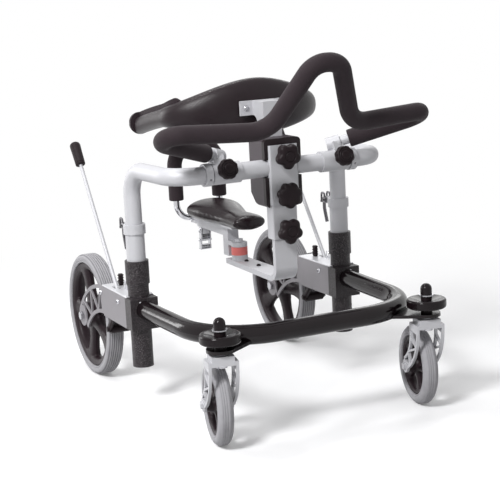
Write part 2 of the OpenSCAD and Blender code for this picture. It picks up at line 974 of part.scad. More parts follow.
module rear_rim(s) {
    hub_len = 2 * (plate_in - cam_gap);
    color("#2b292c")
        at_wheel(s)
            spoked_rim(
                rim_d - 2 * seat_gap, rim_ring_w, rim_ring_t, hub_d, hub_len, axle_d + 2 * run_gap,
                spoke_count, spoke_t, spoke_valley_r, spoke_rim_w, spoke_phase
            );
}

// Brakes

module at_pin(s) {
    translate([s * column_x, 0, 0]) scale_side(s) children();
}

module brake_lever(s) {
    pin = [0, pin_y, pin_z];
    roller = [0, roller_y, roller_z];
    rod_foot = [lever_side, pin_y, pin_z];
    color("#bfc0c3")
        at_pin(s)
            difference() {
                union() {
                    rod(rod_foot, rod_foot + lever_way * lever_len, lever_d);
                    translate(pin) cross_pin(lever_hub_d, 2 * (arm_plate_x + arm_plate_t));
                    for (x = [-arm_plate_x - arm_plate_t, arm_plate_x])
                        upright(x, arm_plate_t) {
                            bar_2d([pin_y, pin_z], [roller_y, roller_z], arm_plate_w);
                            translate([roller_y, roller_z]) circle(d = arm_plate_w);
                        }
                    translate(roller) {
                        cross_pin(roller_pin_d, 2 * (arm_plate_x + arm_plate_t));
                        outer_heads(arm_plate_x + arm_plate_t, roller_head_d, roller_head_h);
                    }
                }
                translate(pin) cross_pin(pin_d + 2 * run_gap, 2 * bracket_half_w);
            }
}

module brake_grip(s) {
    foot = [lever_side, pin_y, pin_z];
    grip_from = foot + lever_way * (lever_len - lever_grip_len);
    color("#1d1b1e")
        at_pin(s)
            difference() {
                along(grip_from, foot + lever_way * lever_len)
                    rotate_extrude()
                        union() {
                            square([lever_grip_d / 2, lever_grip_len]);
                            translate([0, lever_grip_len]) square([lever_d / 2, lever_d / 2]);
                            intersection() {
                                translate([0, lever_grip_len - lever_grip_d / 2])
                                    circle(lever_grip_d / sqrt(2));
                                translate([0, lever_grip_len])
                                    square([lever_grip_d / 2, lever_grip_d]);
                            }
                        }
                rod(foot, foot + lever_way * (lever_len + seat_gap), lever_d + 2 * seat_gap);
            }
}

module brake_roller(s) {
    color("#1d1b1e")
        at_pin(s)
            translate([0, roller_y, roller_z])
                difference() {
                    cross_pin(roller_d, 2 * roller_half_w);
                    cross_pin(roller_pin_d + 2 * run_gap, 2 * roller_half_w + 2 * cut);
                }
}

// Casters

module at_casters() {
    for (s = SIDES)
        translate([s * caster_x, caster_y, 0]) children();
}

module at_caster(s) {
    translate([s * caster_x, caster_y, 0]) rotate([0, 0, -caster_turn]) children();
}

module caster_plate_outline() {
    tail = unit([-base_bend_in.y, base_bend_in.x]) * caster_plate_tail_w / 2;
    side = unit([-base_bend_in.y, base_bend_in.x]) * caster_plate_r;
    corner_to_axis = base_bend_r * (sqrt(2) - 1);
    reach = norm([base_corner_x - caster_x, base_front_y - caster_y]) + corner_to_axis;
    foot = [base_bend_in.x, base_bend_in.y] * reach;
    circle(caster_plate_r);
    polygon([side, foot + tail, foot - tail, -side]);
}

module caster_plates() {
    color("#1f1e20")
        difference() {
            for (s = SIDES)
                scale_side(s)
                    translate([caster_x, caster_y, plate_z])
                        linear_extrude(caster_plate_t)
                            difference() {
                                caster_plate_outline();
                                circle(d = kingpin_d + 2 * seat_gap);
                            }
            bent_rod(base_path, base_bends, base_tube_d + bend_swell + 2 * seat_gap);
        }
}

module kingpins() {
    color("#b9babd")
        at_casters() {
            translate([0, 0, crown_z - kingpin_head_h - cam_gap])
                cylinder(d = kingpin_head_d, h = kingpin_head_h);
            translate([0, 0, crown_z - kingpin_head_h - cam_gap])
                cylinder(d = kingpin_d, h = cap_z + cap_h / 2 - crown_z + kingpin_head_h);
            translate([0, 0, crown_z + crown_h + cam_gap])
                cylinder(d = thrust_d, h = thrust_h - cam_gap);
            translate([0, 0, washer_z]) tube(washer_d, kingpin_d + 2 * seat_gap, washer_t);
        }
}

module bumper_spacers() {
    color("#1f1e20")
        at_casters() {
            translate([0, 0, plate_z + caster_plate_t])
                tube(spacer_d, kingpin_d + 2 * seat_gap, lower_spacer_h - cam_gap);
            translate([0, 0, upper_spacer_z + cam_gap - bumper_dish])
                tube(
                    spacer_d - 2 * cam_gap, kingpin_d + 2 * seat_gap, upper_spacer_h + bumper_dish - cam_gap
                );
        }
}

module cap_nuts() {
    color("#1a191b")
        at_casters()
            translate([0, 0, cap_z])
                difference() {
                    rotate_extrude()
                        intersection() {
                            union() {
                                square([cap_d / 2, cap_h - cap_d / 2]);
                                translate([0, cap_h - cap_d / 2]) circle(cap_d / 2);
                            }
                            square([cap_d, cap_h]);
                        }
                    translate([0, 0, -cut])
                        cylinder(d = kingpin_d + 2 * seat_gap, h = cap_h / 2 + cut + seat_gap);
                }
}

module caster_arm_outline() {
    r_in = caster_arm_r - caster_arm_depth;
    axle = [caster_trail, caster_d / 2];
    difference() {
        union() {
            ring_part(caster_arm_centre, r_in, caster_arm_r, 180, 360 + caster_arm_turn, caster_taper);
            translate(axle) circle(caster_boss_r);
        }
        difference() {
            truss_windows(
                caster_arm_centre, r_in + caster_arm_rim, caster_arm_r - caster_arm_rim,
                180 + caster_gap_turn, 360 + caster_arm_turn, caster_strut_w, caster_bays, caster_taper
            );
            translate(axle) circle(caster_boss_r);
        }
    }
}

module caster_fork(s) {
    color("#c6c7ca")
        at_caster(s) {
            difference() {
                union() {
                    translate([-caster_arm_out, -crown_front, crown_z])
                        cube([2 * caster_arm_out, crown_front + crown_rear, shoulder_h]);
                    translate([shoulder_step - caster_arm_out, -crown_front, crown_z])
                        cube([2 * (caster_arm_out - shoulder_step), crown_front + crown_rear, crown_h]);
                    for (x = [-caster_arm_out, caster_arm_in])
                        upright(x, caster_arm_t) caster_arm_outline();
                    translate([0, crown_rear + lock_sleeve_len, lock_z])
                        rotate([90, 0, 0]) cylinder(d = lock_sleeve_d, h = lock_sleeve_len + cut);
                }
                translate([0, 0, crown_z - cut])
                    cylinder(d = kingpin_d + 2 * run_gap, h = crown_h + 2 * cut);
                translate([0, crown_rear + lock_sleeve_len + cut, lock_z])
                    rotate([90, 0, 0])
                        cylinder(
                            d = lock_pin_d + 2 * run_gap, h = lock_sleeve_len + lock_pin_depth + 2 * cut
                        );
                translate([0, caster_trail, caster_d / 2])
                    cross_pin(caster_axle_d + 2 * seat_gap, 2 * caster_arm_out + 2 * cut);
            }
            translate([0, caster_trail, caster_d / 2]) {
                cross_pin(caster_axle_d, 2 * caster_arm_out);
                outer_heads(caster_arm_out, caster_axle_head_d, caster_axle_head_h);
            }
        }
}

module caster_tyre(s) {
    color("#8d8c8f")
        at_caster(s)
            translate([0, caster_trail, caster_d / 2])
                rotate([0, 90, 0])
                    rotate_extrude()
                        tyre_section(
                            caster_d, caster_rim_d, caster_w, caster_shoulder_r, caster_groove_count
                        );
}

module caster_rim(s) {
    hub_len = 2 * (caster_arm_in - cam_gap);
    color("#2b292c")
        at_caster(s)
            translate([0, caster_trail, caster_d / 2])
                spoked_rim(
                    caster_rim_d - 2 * seat_gap, caster_w - caster_shoulder_r, caster_ring_t,
                    caster_hub_d, hub_len, caster_axle_d + 2 * run_gap,
                    spoke_count, caster_spoke_t, caster_valley_r, caster_spoke_rim_w, spoke_phase
                );
}

module swivel_lock(s) {
    knob_y = crown_rear + lock_sleeve_len + lock_knob_gap;
    pin_len = lock_sleeve_len + lock_pin_depth;
    color("#1a191b")
        at_caster(s)
            translate([0, knob_y, lock_z])
                rotate([-90, 0, 0]) {
                    cylinder(d = lock_knob_d, h = lock_knob_len);
                    translate([0, 0, -pin_len]) cylinder(d = lock_pin_d, h = pin_len + cut);
                }
}

module bumper(s) {
    lip_r = bumper_d / 2 - bumper_edge_r - bumper_lip;
    color("#1f1e20")
        translate([s * caster_x, caster_y, bumper_z])
            rotate_extrude()
                difference() {
                    union() {
                        square([bumper_d / 2 - bumper_edge_r, bumper_h]);
                        translate([0, bumper_edge_r])
                            square([bumper_d / 2, bumper_h - 2 * bumper_edge_r]);
                        for (z = [bumper_edge_r, bumper_h - bumper_edge_r])
                            translate([bumper_d / 2 - bumper_edge_r, z]) circle(bumper_edge_r);
                    }
                    square([kingpin_d / 2 + run_gap, bumper_h]);
                    polygon([
                        [0, bumper_h - bumper_dish],
                        [spacer_d / 2, bumper_h - bumper_dish],
                        [lip_r, bumper_h],
                        [0, bumper_h]
                    ]);
                }
}

// Cam levers of the height clamps

module height_lever(s) {
    side_x = lug_w / 2 + cam_gap;
    foot_z = cam_z - cam_lever_len;
    color("#1d1b1e")
        at_pin(s) {
            for (x = [-side_x - cam_side_t, side_x])
                upright(x, cam_side_t) {
                    translate([cam_y, cam_z]) circle(d = cam_w);
                    bar_2d([cam_y, cam_z], [cam_y, foot_z], cam_w - cam_rim);
                }
            translate([-side_x - cam_side_t, cam_y - (cam_w - cam_rim) / 2, foot_z - cam_rim])
                cube([2 * (side_x + cam_side_t), cam_w - cam_rim, cam_rim]);
            translate([0, cam_y, cam_z]) cross_pin(cam_pin_d, 2 * (side_x + cut));
        }
}

// Upper frame

frame_path = [
    [sleeve_w / 2, bar_y, bar_z],
    [bar_corner_x, bar_y, bar_z],
    [column_x, 0, bar_z],
    [column_x, 0, mid_top_z - leg_inside]
];

module sleeve_outline() {
    translate([0, bar_y]) rounded_rect(sleeve_w, sleeve_d, sleeve_corner_r);
}

module upper_frame_tube() {
    color("#cbccd0")
        for (s = SIDES)
            scale_side(s)
                bent_tube(
                    frame_path, [frame_bend_r, frame_bend_r], frame_tube_d, frame_tube_d - 2 * frame_tube_wall
                );
}

module screw_hole(z, from_y, to_y) {
    translate([0, to_y, z])
        rotate([90, 0, 0]) cylinder(d = screw_d + 2 * run_gap, h = to_y - from_y);
}

module centre_sleeve() {
    color("#c6c7cb")
        difference() {
            translate([0, 0, bar_z - sleeve_down])
                linear_extrude(sleeve_up + sleeve_down)
                    difference() {
                        sleeve_outline();
                        translate([0, bar_y])
                            square([post_w + 2 * slide_gap, post_d + 2 * slide_gap], center = true);
                    }
            screw_hole(bar_z + upper_knob_rise, sleeve_front_y - cut, sleeve_rear_y + cut);
            screw_hole(bar_z - middle_knob_drop, sleeve_front_y - cut, bar_y);
        }
}

module chest_housing() {
    in_w = sleeve_w + 2 * soft_gap;
    out_w = in_w + 2 * housing_wall;
    low_z = bar_z - housing_down;
    depth = housing_rear_y - housing_front_y;
    color("#1d1c1f")
        difference() {
            translate([0, housing_rear_y, low_z + (housing_up + housing_down) / 2])
                rotate([90, 0, 0])
                    linear_extrude(depth)
                        rounded_rect(out_w, housing_up + housing_down, housing_corner_r);
            translate([-chest_post_w / 2 - slide_gap, chest_post_y - chest_post_d / 2 - slide_gap, low_z - cut])
                cube([
                    chest_post_w + 2 * slide_gap,
                    chest_post_d + 2 * slide_gap,
                    housing_up + housing_down + 2 * cut
                ]);
            translate([-in_w / 2, housing_front_y - cut, low_z - cut])
                cube([
                    in_w,
                    sleeve_rear_y + soft_gap - housing_front_y + cut,
                    housing_down + sleeve_up + soft_gap + cut
                ]);
            translate([0, bar_y, bar_z]) cross_pin(frame_tube_d + 2 * slide_gap, out_w + 2 * cut);
            translate([-out_w / 2 - cut, housing_front_y - cut, bar_z - frame_tube_d / 2 - slide_gap])
                cube([out_w + 2 * cut, bar_y - housing_front_y + cut, frame_tube_d + 2 * slide_gap]);
            translate([0, housing_rear_y, low_z])
                rotate([45, 0, 0]) cube([out_w + 2 * cut, housing_cut, housing_cut], center = true);
            screw_hole(bar_z + upper_knob_rise, bar_y, chest_post_y);
        }
}

module bar_collars() {
    color("#d4d5d8")
        for (s = SIDES)
            translate([s * (bar_collar_x + bar_collar_w / 2), bar_y, bar_z])
                difference() {
                    cross_pin(bar_collar_d, bar_collar_w);
                    cross_pin(frame_tube_d + 2 * seat_gap, bar_collar_w + 2 * cut);
                }
}

// Handlebar

bar_axis = [0, bar_y, bar_z];
bar_end = bar_axis + [bar_end_x, 0, bar_end_rise];
bar_corners = [
    bar_axis + [bar_outer_x, -bar_outer_reach, bar_outer_rise],
    bar_axis + [bar_inner_x, -bar_inner_reach, bar_inner_rise],
    bar_axis + [bar_top_x, -bar_top_reach, bar_top_rise]
];
bar_way = unit(bar_end - bar_corners[0]);
bar_foot = bar_end + bar_way * bar_hidden;
bar_bends = [outer_bend_r, inner_bend_r, top_bend_r, top_bend_r, inner_bend_r, outer_bend_r];
foam_path = there_and_back(concat([bar_end], bar_corners));
tube_path = there_and_back(concat([bar_foot], bar_corners));

module handlebar_tube() {
    color("#c2c3c6") bent_rod(tube_path, bar_bends, bar_tube_d);
}

module handlebar_foam() {
    color("#39363a") bent_tube(foam_path, bar_bends, foam_d, bar_tube_d + 2 * seat_gap);
}

// The way of a bar knob's screw, towards the lateral bar
knob_way = [0, -cos(bar_knob_lift), sin(bar_knob_lift)];

module bar_fittings() {
    boss_mid = bar_foot - bar_way * boss_len / 2;
    color("#c9cacd")
        for (s = SIDES)
            scale_side(s)
                difference() {
                    union() {
                        translate([fitting_in_x + fitting_len / 2, bar_y, bar_z])
                            cross_pin(fitting_d, fitting_len);
                        rod(
                            bar_foot + bar_way * (boss_d - bar_tube_d) / 2, bar_foot - bar_way * boss_len, boss_d
                        );
                        upright(boss_mid.x - fitting_web / 2, fitting_web)
                            bar_2d([bar_y, bar_z], [boss_mid.y, boss_mid.z], boss_d);
                    }
                    translate([fitting_in_x + fitting_len / 2, bar_y, bar_z])
                        cross_pin(frame_tube_d + 2 * run_gap, 2 * fitting_len);
                    rod(bar_foot, bar_end, bar_tube_d + 2 * run_gap);
                    rod(
                        [fitting_knob_x, bar_y, bar_z],
                        [fitting_knob_x, bar_y, bar_z] + knob_way * fitting_d,
                        screw_d + 2 * run_gap
                    );
                }
}

module bar_knob(s) {
    seat = [s * fitting_knob_x, bar_y, bar_z] + knob_way * (fitting_d / 2 + soft_gap);
    color("#1d1b1e")
        along(seat, seat + knob_way)
            star_knob(
                bar_knob_d, bar_knob_lobes, bar_knob_dip, bar_knob_stem_d,
                bar_knob_stem_len, bar_knob_head_h, (fitting_d - frame_tube_d) / 2
            );
}

// Post knobs, which turn about Y

module post_knob(z, face_y, screw_len, lobes = knob_lobes, dip = knob_dip) {
    color("#262427")
        translate([0, face_y - soft_gap, z])
            rotate([90, 0, 0])
                rotate(90)
                    star_knob(
                        post_knob_d, lobes, dip, knob_stem_d, knob_stem_len, knob_head_h, screw_len
                    );
}

module upper_post_knob() {
    post_knob(
        bar_z + upper_knob_rise, sleeve_front_y,
        chest_post_y - chest_post_d / 2 - sleeve_front_y - soft_gap
    );
}

module middle_post_knob() {
    post_knob(
        bar_z - middle_knob_drop, sleeve_front_y, post_front_y - sleeve_front_y - soft_gap,
        middle_knob_lobes, middle_knob_dip
    );
}

module lower_post_knob() {
    post_knob(post_low_z + lower_knob_rise, post_front_y, post_wall + slide_gap - soft_gap);
}

// Chest support

module chest_post() {
    plate_low = chest_z - chest_plate_h / 2;
    plate_top = chest_z + chest_plate_h / 2;
    back_y = chest_post_y + chest_post_d / 2;
    color("#c4c5c9")
        difference() {
            union() {
                translate([-chest_post_w / 2, chest_post_y - chest_post_d / 2, chest_z - chest_post_low])
                    cube([chest_post_w, chest_post_d, plate_top - chest_z + chest_post_low]);
                upright(-chest_post_w / 2, chest_post_w)
                    difference() {
                        translate([back_y - cut, plate_low - neck_r])
                            square([chest_reach + cut, chest_plate_h + neck_r]);
                        translate([back_y + chest_reach, plate_low - neck_r]) circle(neck_r);
                    }
                translate([-chest_plate_w / 2, chest_plate_y, plate_low])
                    cube([chest_plate_w, chest_plate_t, chest_plate_h]);
            }
            for (x = [-chest_bolt_x, chest_bolt_x])
                translate([x, chest_plate_y - cut, chest_z])
                    rotate([-90, 0, 0])
                        cylinder(d = chest_bolt_d + 2 * seat_gap, h = chest_plate_t + 2 * cut);
        }
}

module chest_bolts() {
    color("#b9babd")
        for (x = [-chest_bolt_x, chest_bolt_x])
            translate([x, chest_plate_y, chest_z])
                rotate([90, 0, 0]) {
                    hex_head(chest_bolt_head_d, chest_bolt_head_h);
                    translate([0, 0, -chest_plate_t])
                        cylinder(d = chest_bolt_d, h = chest_plate_t + cut);
                }
}

// The pad follows half an ellipse at the front and two straight arms.
// A station is [x, y, outward x, outward y, share of the way from the front to the end of the arm].
chest_mid_y = chest_front_y + chest_curve;
end_y = chest_mid_y + chest_arm;
last_step = curve_steps + arm_steps;
function curve_place(a) = [chest_half_w * sin(a), chest_mid_y - chest_curve * cos(a)];
function curve_out(a) = unit([sin(a) / chest_half_w, -cos(a) / chest_curve]);
pad_places = [
    for (i = [0:last_step])
        i <= curve_steps ? curve_place(90 * i / curve_steps)
        : [chest_half_w, chest_mid_y + chest_arm * (i - curve_steps) / arm_steps]
];
pad_ways = [
    for (i = [0:last_step])
        i <= curve_steps ? curve_out(90 * i / curve_steps) : [1, 0]
];
function run_to(i) = i == 0 ? 0 : run_to(i - 1) + norm(pad_places[i] - pad_places[i - 1]);
pad_run = run_to(last_step);
function station(i, side) = [
    side * pad_places[i].x, pad_places[i].y, side * pad_ways[i].x, pad_ways[i].y, run_to(i) / pad_run
];
stations = concat(
    [for (i = [last_step:-1:1]) station(i, RIGHT)],
    [for (i = [0:last_step]) station(i, LEFT)]
);

function smooth(t) = t * t * (3 - 2 * t);
function eased(t) = smooth(min(1, max(0, t)));
function shell_h(share) = chest_front_h + (chest_end_h - chest_front_h) * eased(share / taper_share);
function shell_out(share) = shell_bulge * (1 + (shell_end_share - 1) * share);
function pad_mid(share) = chest_z - chest_end_drop * pow(share, drop_power);
function signed_power(v, share) = sign(v) * pow(abs(v), share);

// One D-shaped section: flat at offset shift, swelling by reach, about the height mid
function d_section(s, reach, mid, height, shift) = [
    for (j = [0:section_steps])
        let (
            a = -90 + 180 * j / section_steps,
            out = shift + reach * signed_power(cos(a), pad_square_share),
            z = mid + height / 2 * signed_power(sin(a), pad_square_share)
        )
            [s[0] + s[2] * out, s[1] + s[3] * out, z]
];

// Closes a row of sections, each a ring of points, into a solid
module lofted(rings) {
    n = len(rings[0]);
    last = len(rings) - 1;
    polyhedron(
        points = [for (r = rings) for (p = r) p],
        faces = concat(
            [for (i = [0:last - 1]) for (j = [0:n - 1])
                [i * n + j, i * n + (j + 1) % n, (i + 1) * n + (j + 1) % n]],
            [for (i = [0:last - 1]) for (j = [0:n - 1])
                [i * n + j, (i + 1) * n + (j + 1) % n, (i + 1) * n + j]],
            [for (j = [1:n - 2]) [0, j + 1, j]],
            [for (j = [1:n - 2]) [last * n, last * n + j, last * n + j + 1]]
        )
    );
}

module chest_shell() {
    color("#2c2a2d")
        lofted([
            for (s = stations)
                d_section(s, shell_out(s[4]), pad_mid(s[4]), shell_h(s[4]), 0)
        ]);
}

// The liner stands a little above the shell on the arms, and its ends roll out over the shell's ends.
function over(share) = liner_over * eased((share - liner_over_share) / liner_over_share);
function liner_section(s) = d_section(
    s, -liner_t, pad_mid(s[4]) + over(s[4]) / 2, shell_h(s[4]) + over(s[4]), -soft_gap
);
function roll_section(side, turn) =
    let (
        wide = (liner_t + shell_out(1) + roll_wrap) * cos(turn),
        height = (chest_end_h + liner_over) * cos(turn),
        middle = chest_half_w + (shell_out(1) + roll_wrap - liner_t) / 2,
        y = end_y + soft_gap + (liner_roll - soft_gap) * sin(turn)
    )
        [for (j = [0:section_steps])
            let (a = roll_open * (2 * j / section_steps - 1))
                [side * (middle - wide / 2 * cos(a)), y, pad_mid(1) + liner_over / 2 + height / 2 * sin(a)]
        ];

module chest_liner() {
    last = len(roll_turns) - 1;
    color("#232124")
        lofted([
            for (i = [last:-1:0]) roll_section(RIGHT, roll_turns[i]),
            for (s = stations) liner_section(s),
            for (turn = roll_turns) roll_section(LEFT, turn)
        ]);
}

// Saddle

module saddle_post() {
    color("#c6c7cb")
        difference() {
            translate([0, bar_y, post_low_z])
                linear_extrude(post_len)
                    difference() {
                        rounded_rect(post_w, post_d, post_corner_r);
                        square([post_w - 2 * post_wall, post_d - 2 * post_wall], center = true);
                    }
            screw_hole(post_low_z + lower_knob_rise, post_front_y - cut, bar_y);
        }
}

module arm_profile() {
    low = [post_front_y + post_wall + slide_gap, arm_z];
    translate(low + [arm_bend_r, 0]) square([arm_end_y - low.x - arm_bend_r, arm_t]);
    translate(low + [0, arm_bend_r]) square([arm_t, post_low_z + tongue_len - arm_z - arm_bend_r]);
    intersection() {
        difference() {
            translate(low + [arm_bend_r, arm_bend_r]) circle(arm_bend_r);
            translate(low + [arm_bend_r, arm_bend_r]) circle(arm_bend_r - arm_t);
        }
        translate(low) square(arm_bend_r);
    }
}

module saddle_arm() {
    half_w = post_w / 2 - post_wall - slide_gap;
    color("#cdced2")
        difference() {
            union() {
                intersection() {
                    upright(-half_w, 2 * half_w) arm_profile();
                    translate([0, 0, arm_z - cut])
                        linear_extrude(post_low_z + tongue_len - arm_z + 2 * cut)
                            polygon([
                                [-half_w, post_front_y],
                                [half_w, post_front_y],
                                [half_w, bar_y + post_d],
                                [arm_end_w / 2, arm_end_y],
                                [-arm_end_w / 2, arm_end_y],
                                [-half_w, bar_y + post_d]
                            ]);
                }
                translate([0, swivel_y, arm_top_z - cut])
                    cylinder(d = swivel_d, h = swivel_base_h + cut);
                translate([0, swivel_y, arm_top_z])
                    cylinder(
                        d = swivel_pin_d, h = carrier_plate_z + swivel_plate_h + cam_gap - arm_top_z + cut
                    );
                translate([0, swivel_y, carrier_plate_z + swivel_plate_h + cam_gap])
                    hex_head(swivel_head_d, swivel_head_h);
            }
            for (i = [0, 1])
                translate([0, arm_hole_front_y + i * arm_hole_pitch, arm_z - cut])
                    cylinder(d = arm_hole_d, h = arm_t + 2 * cut);
        }
}

module saddle_swivel() {
    color("#b4534f")
        translate([0, swivel_y, swivel_z]) tube(swivel_d, swivel_pin_d + 2 * seat_gap, swivel_h);
}

module saddle_carrier() {
    mast_z = arm_top_z + carrier_gap;
    tube_rear_y = hoop_y - hoop_d / 2 - clamp_rim;
    color("#c9cacd")
        difference() {
            union() {
                translate([0, swivel_y, carrier_plate_z])
                    cylinder(d = swivel_d, h = swivel_plate_h);
                translate([-carrier_w / 2, swivel_y, carrier_plate_z])
                    cube([carrier_w, mast_y - swivel_y + cut, swivel_plate_h]);
                translate([-carrier_w / 2, mast_y, mast_z])
                    cube([carrier_w, carrier_w, pan_z - mast_z]);
                translate([-carrier_tube / 2, mast_y, carrier_tube_z])
                    cube([carrier_tube, tube_rear_y - mast_y + cut, carrier_tube]);
                translate([-pan_w / 2, pan_front_y, pan_z])
                    cube([pan_w, pan_rear_y - pan_front_y, pan_t]);
                translate([-clamp_w / 2, tube_rear_y, hoop_z - hoop_d / 2 - clamp_rim])
                    cube([clamp_w, hoop_d + 2 * clamp_rim, hoop_d + 2 * clamp_rim]);
                translate([-latch_w / 2, latch_y - latch_w / 2, latch_z - latch_w / 2])
                    cube([latch_w, latch_w, carrier_tube_z - latch_z + latch_w / 2 + cut]);
            }
            translate([0, swivel_y, carrier_plate_z - cut])
                cylinder(d = swivel_pin_d + 2 * run_gap, h = swivel_plate_h + 2 * cut);
            translate([0, hoop_y, hoop_z]) cross_pin(hoop_d + 2 * run_gap, clamp_w + 2 * cut);
            translate([0, latch_y, latch_z])
                cross_pin(latch_pin_d + 2 * run_gap, latch_w + 2 * cut);
        }
}

// The saddle widens and thickens from its nose to its rear
function flare(t) = eased((t - nose_share) / flare_share);
function widened(t, nose, rear) = nose + (rear - nose) * flare(t);
// Rounds off the saddle's ends
function end_round(t) = sqrt(1 - pow(max(0, 1 - min(t, 1 - t) / end_share), 2));

function saddle_ring(t) =
    let (
        along = (1 - cos(180 * t)) / 2,
        w = widened(along, nose_w, rear_w) / 2 * end_round(along),
        h = widened(along, nose_h, saddle_h),
        lift = h * crown_share,
        ease = (1 + end_round(along)) / 2,
        y = saddle_front_y + saddle_len * along
    )
        [for (j = [0:saddle_points - 1])
            let (
                a = 360 * j / saddle_points,
                top = sin(a) > 0,
                draw_in = top ? 1 : 1 + (1 - underside_share) * sin(a),
                side = signed_power(cos(a), section_square_share) * w * draw_in,
                crown = top ? lift * (1 - pow(side / (w + cut), 2)) : -lift,
                up = (h / 2 - lift) * signed_power(sin(a), section_square_share) + crown
            )
                [side, y, saddle_z + h / 2 + up * (top ? ease : 1)]
        ];

module saddle_cushion() {
    color("#1c1a1d")
        lofted([
            for (i = [0:saddle_rings])
                saddle_ring((i + 1 / 2) / (saddle_rings + 1))
        ]);
}

hoop_top_r = hoop_half_w - hoop_top_gap;
hoop_top = [hoop_half_w, hoop_y, hoop_z + hoop_h];
hoop_path = there_and_back([[0, hoop_y, hoop_z], [hoop_half_w, hoop_y, hoop_z], hoop_top]);
hoop_bends = [hoop_corner_r, hoop_top_r, hoop_top_r, hoop_corner_r];
hoop_foam_path = there_and_back([[hoop_half_w, hoop_y, hoop_z + hoop_foam_rise], hoop_top]);

module backrest_hoop() {
    color("#c8c9cc") bent_rod(hoop_path, hoop_bends, hoop_d);
}

module backrest_foam() {
    color("#2f2d30")
        bent_tube(hoop_foam_path, [hoop_top_r, hoop_top_r], hoop_foam_d, hoop_d + 2 * seat_gap);
}

module backrest_latch() {
    side_x = latch_w / 2 + cam_gap;
    foot_z = latch_z - latch_len;
    color("#c8c9cc") {
        for (x = [-side_x - latch_side_t, side_x])
            upright(x, latch_side_t) {
                translate([latch_y, latch_z]) circle(d = latch_w);
                bar_2d([latch_y, latch_z], [latch_y, foot_z], latch_w - latch_rim);
            }
        translate([-side_x - latch_side_t, latch_y - (latch_w - latch_rim) / 2, foot_z - latch_foot])
            cube([2 * (side_x + latch_side_t), latch_w + latch_rim, latch_foot]);
        translate([0, latch_y, latch_z]) {
            cross_pin(latch_pin_d, 2 * (side_x + cut));
            cross_pin_heads(side_x + latch_side_t, latch_head_d, latch_head_h);
        }
    }
}

base_tube();
columns();
mid_tubes();
height_collars();
column_blocks();
fork_plates();
bracket_covers();
bracket_bolts();
brake_catches();
rear_axles();
caster_plates();
kingpins();
bumper_spacers();
cap_nuts();
rear_tyre(RIGHT);  // right_rear_tyre
rear_tyre(LEFT);  // left_rear_tyre
rear_rim(RIGHT);  // right_rear_rim
rear_rim(LEFT);  // left_rear_rim
brake_lever(RIGHT);  // right_brake_lever
brake_lever(LEFT);  // left_brake_lever
brake_grip(RIGHT);  // right_brake_grip
brake_grip(LEFT);  // left_brake_grip
brake_roller(RIGHT);  // right_brake_roller
brake_roller(LEFT);  // left_brake_roller
caster_fork(RIGHT);  // right_caster_fork
caster_fork(LEFT);  // left_caster_fork
caster_tyre(RIGHT);  // right_caster_tyre
caster_tyre(LEFT);  // left_caster_tyre
caster_rim(RIGHT);  // right_caster_rim
caster_rim(LEFT);  // left_caster_rim
bumper(RIGHT);  // right_bumper
bumper(LEFT);  // left_bumper
swivel_lock(RIGHT);  // right_swivel_lock
swivel_lock(LEFT);  // left_swivel_lock
height_lever(RIGHT);  // right_height_lever
height_lever(LEFT);  // left_height_lever
upper_frame_tube();
centre_sleeve();
chest_housing();
bar_collars();
handlebar_tube();
handlebar_foam();
bar_fittings();
bar_knob(RIGHT);  // right_bar_knob
bar_knob(LEFT);  // left_bar_knob
upper_post_knob();
middle_post_knob();
lower_post_knob();
chest_post();
chest_shell();
chest_liner();
chest_bolts();
saddle_post();
saddle_arm();
saddle_swivel();
saddle_carrier();
saddle_cushion();
backrest_hoop();
backrest_foam();
backrest_latch();
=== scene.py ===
"""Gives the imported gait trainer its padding, wheels, knobs, hardware and finishes, and sets the stage."""

import json
import math

import bmesh
import bpy
from bpy.props import FloatProperty, FloatVectorProperty, IntProperty, PointerProperty
from mathutils import Matrix, Vector


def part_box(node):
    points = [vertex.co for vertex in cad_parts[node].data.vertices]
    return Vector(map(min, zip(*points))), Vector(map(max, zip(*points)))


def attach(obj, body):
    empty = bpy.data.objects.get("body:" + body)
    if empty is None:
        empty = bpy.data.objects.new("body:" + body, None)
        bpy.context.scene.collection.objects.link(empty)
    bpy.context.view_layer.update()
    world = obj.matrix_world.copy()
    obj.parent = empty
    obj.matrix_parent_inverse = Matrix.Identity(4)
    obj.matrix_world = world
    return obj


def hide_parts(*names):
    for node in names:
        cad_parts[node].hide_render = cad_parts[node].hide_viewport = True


bl_info = {
    "name": "Gait trainer dressing",
    "version": (1, 0, 0),
    "blender": (4, 5, 0),
    "location": "3D View > Sidebar > Trainer",
    "description": "Padding, wheels, hardware, finishes and stage for a gait trainer",
    "category": "Object",
}

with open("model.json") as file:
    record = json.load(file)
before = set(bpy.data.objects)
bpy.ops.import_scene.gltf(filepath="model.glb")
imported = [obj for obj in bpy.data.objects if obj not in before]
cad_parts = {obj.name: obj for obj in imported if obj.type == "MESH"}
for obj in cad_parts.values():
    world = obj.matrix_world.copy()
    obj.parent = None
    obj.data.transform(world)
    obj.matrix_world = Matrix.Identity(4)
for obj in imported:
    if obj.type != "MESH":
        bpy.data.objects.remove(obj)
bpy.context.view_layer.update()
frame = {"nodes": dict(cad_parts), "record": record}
NODES = frame["nodes"]
BODY_OF = {node: body for body, nodes in frame["record"]["behaviour"]["bodies"].items() for node in nodes}
SIDES = (("right", -1), ("left", 1))
MM = 0.001
POINT_MERGE = 1e-6
CAD_MERGE = 2e-5
X_AXIS = Vector((1, 0, 0))
Y_AXIS = Vector((0, 1, 0))
Z_AXIS = Vector((0, 0, 1))


def linear(hex_code):
    """A screen colour, such as "8b898d", in the linear values that shaders use."""
    values = [int(hex_code[i : i + 2], 16) / 255 for i in (0, 2, 4)]
    return tuple(v / 12.92 if v <= 0.04045 else ((v + 0.055) / 1.055) ** 2.4 for v in values)


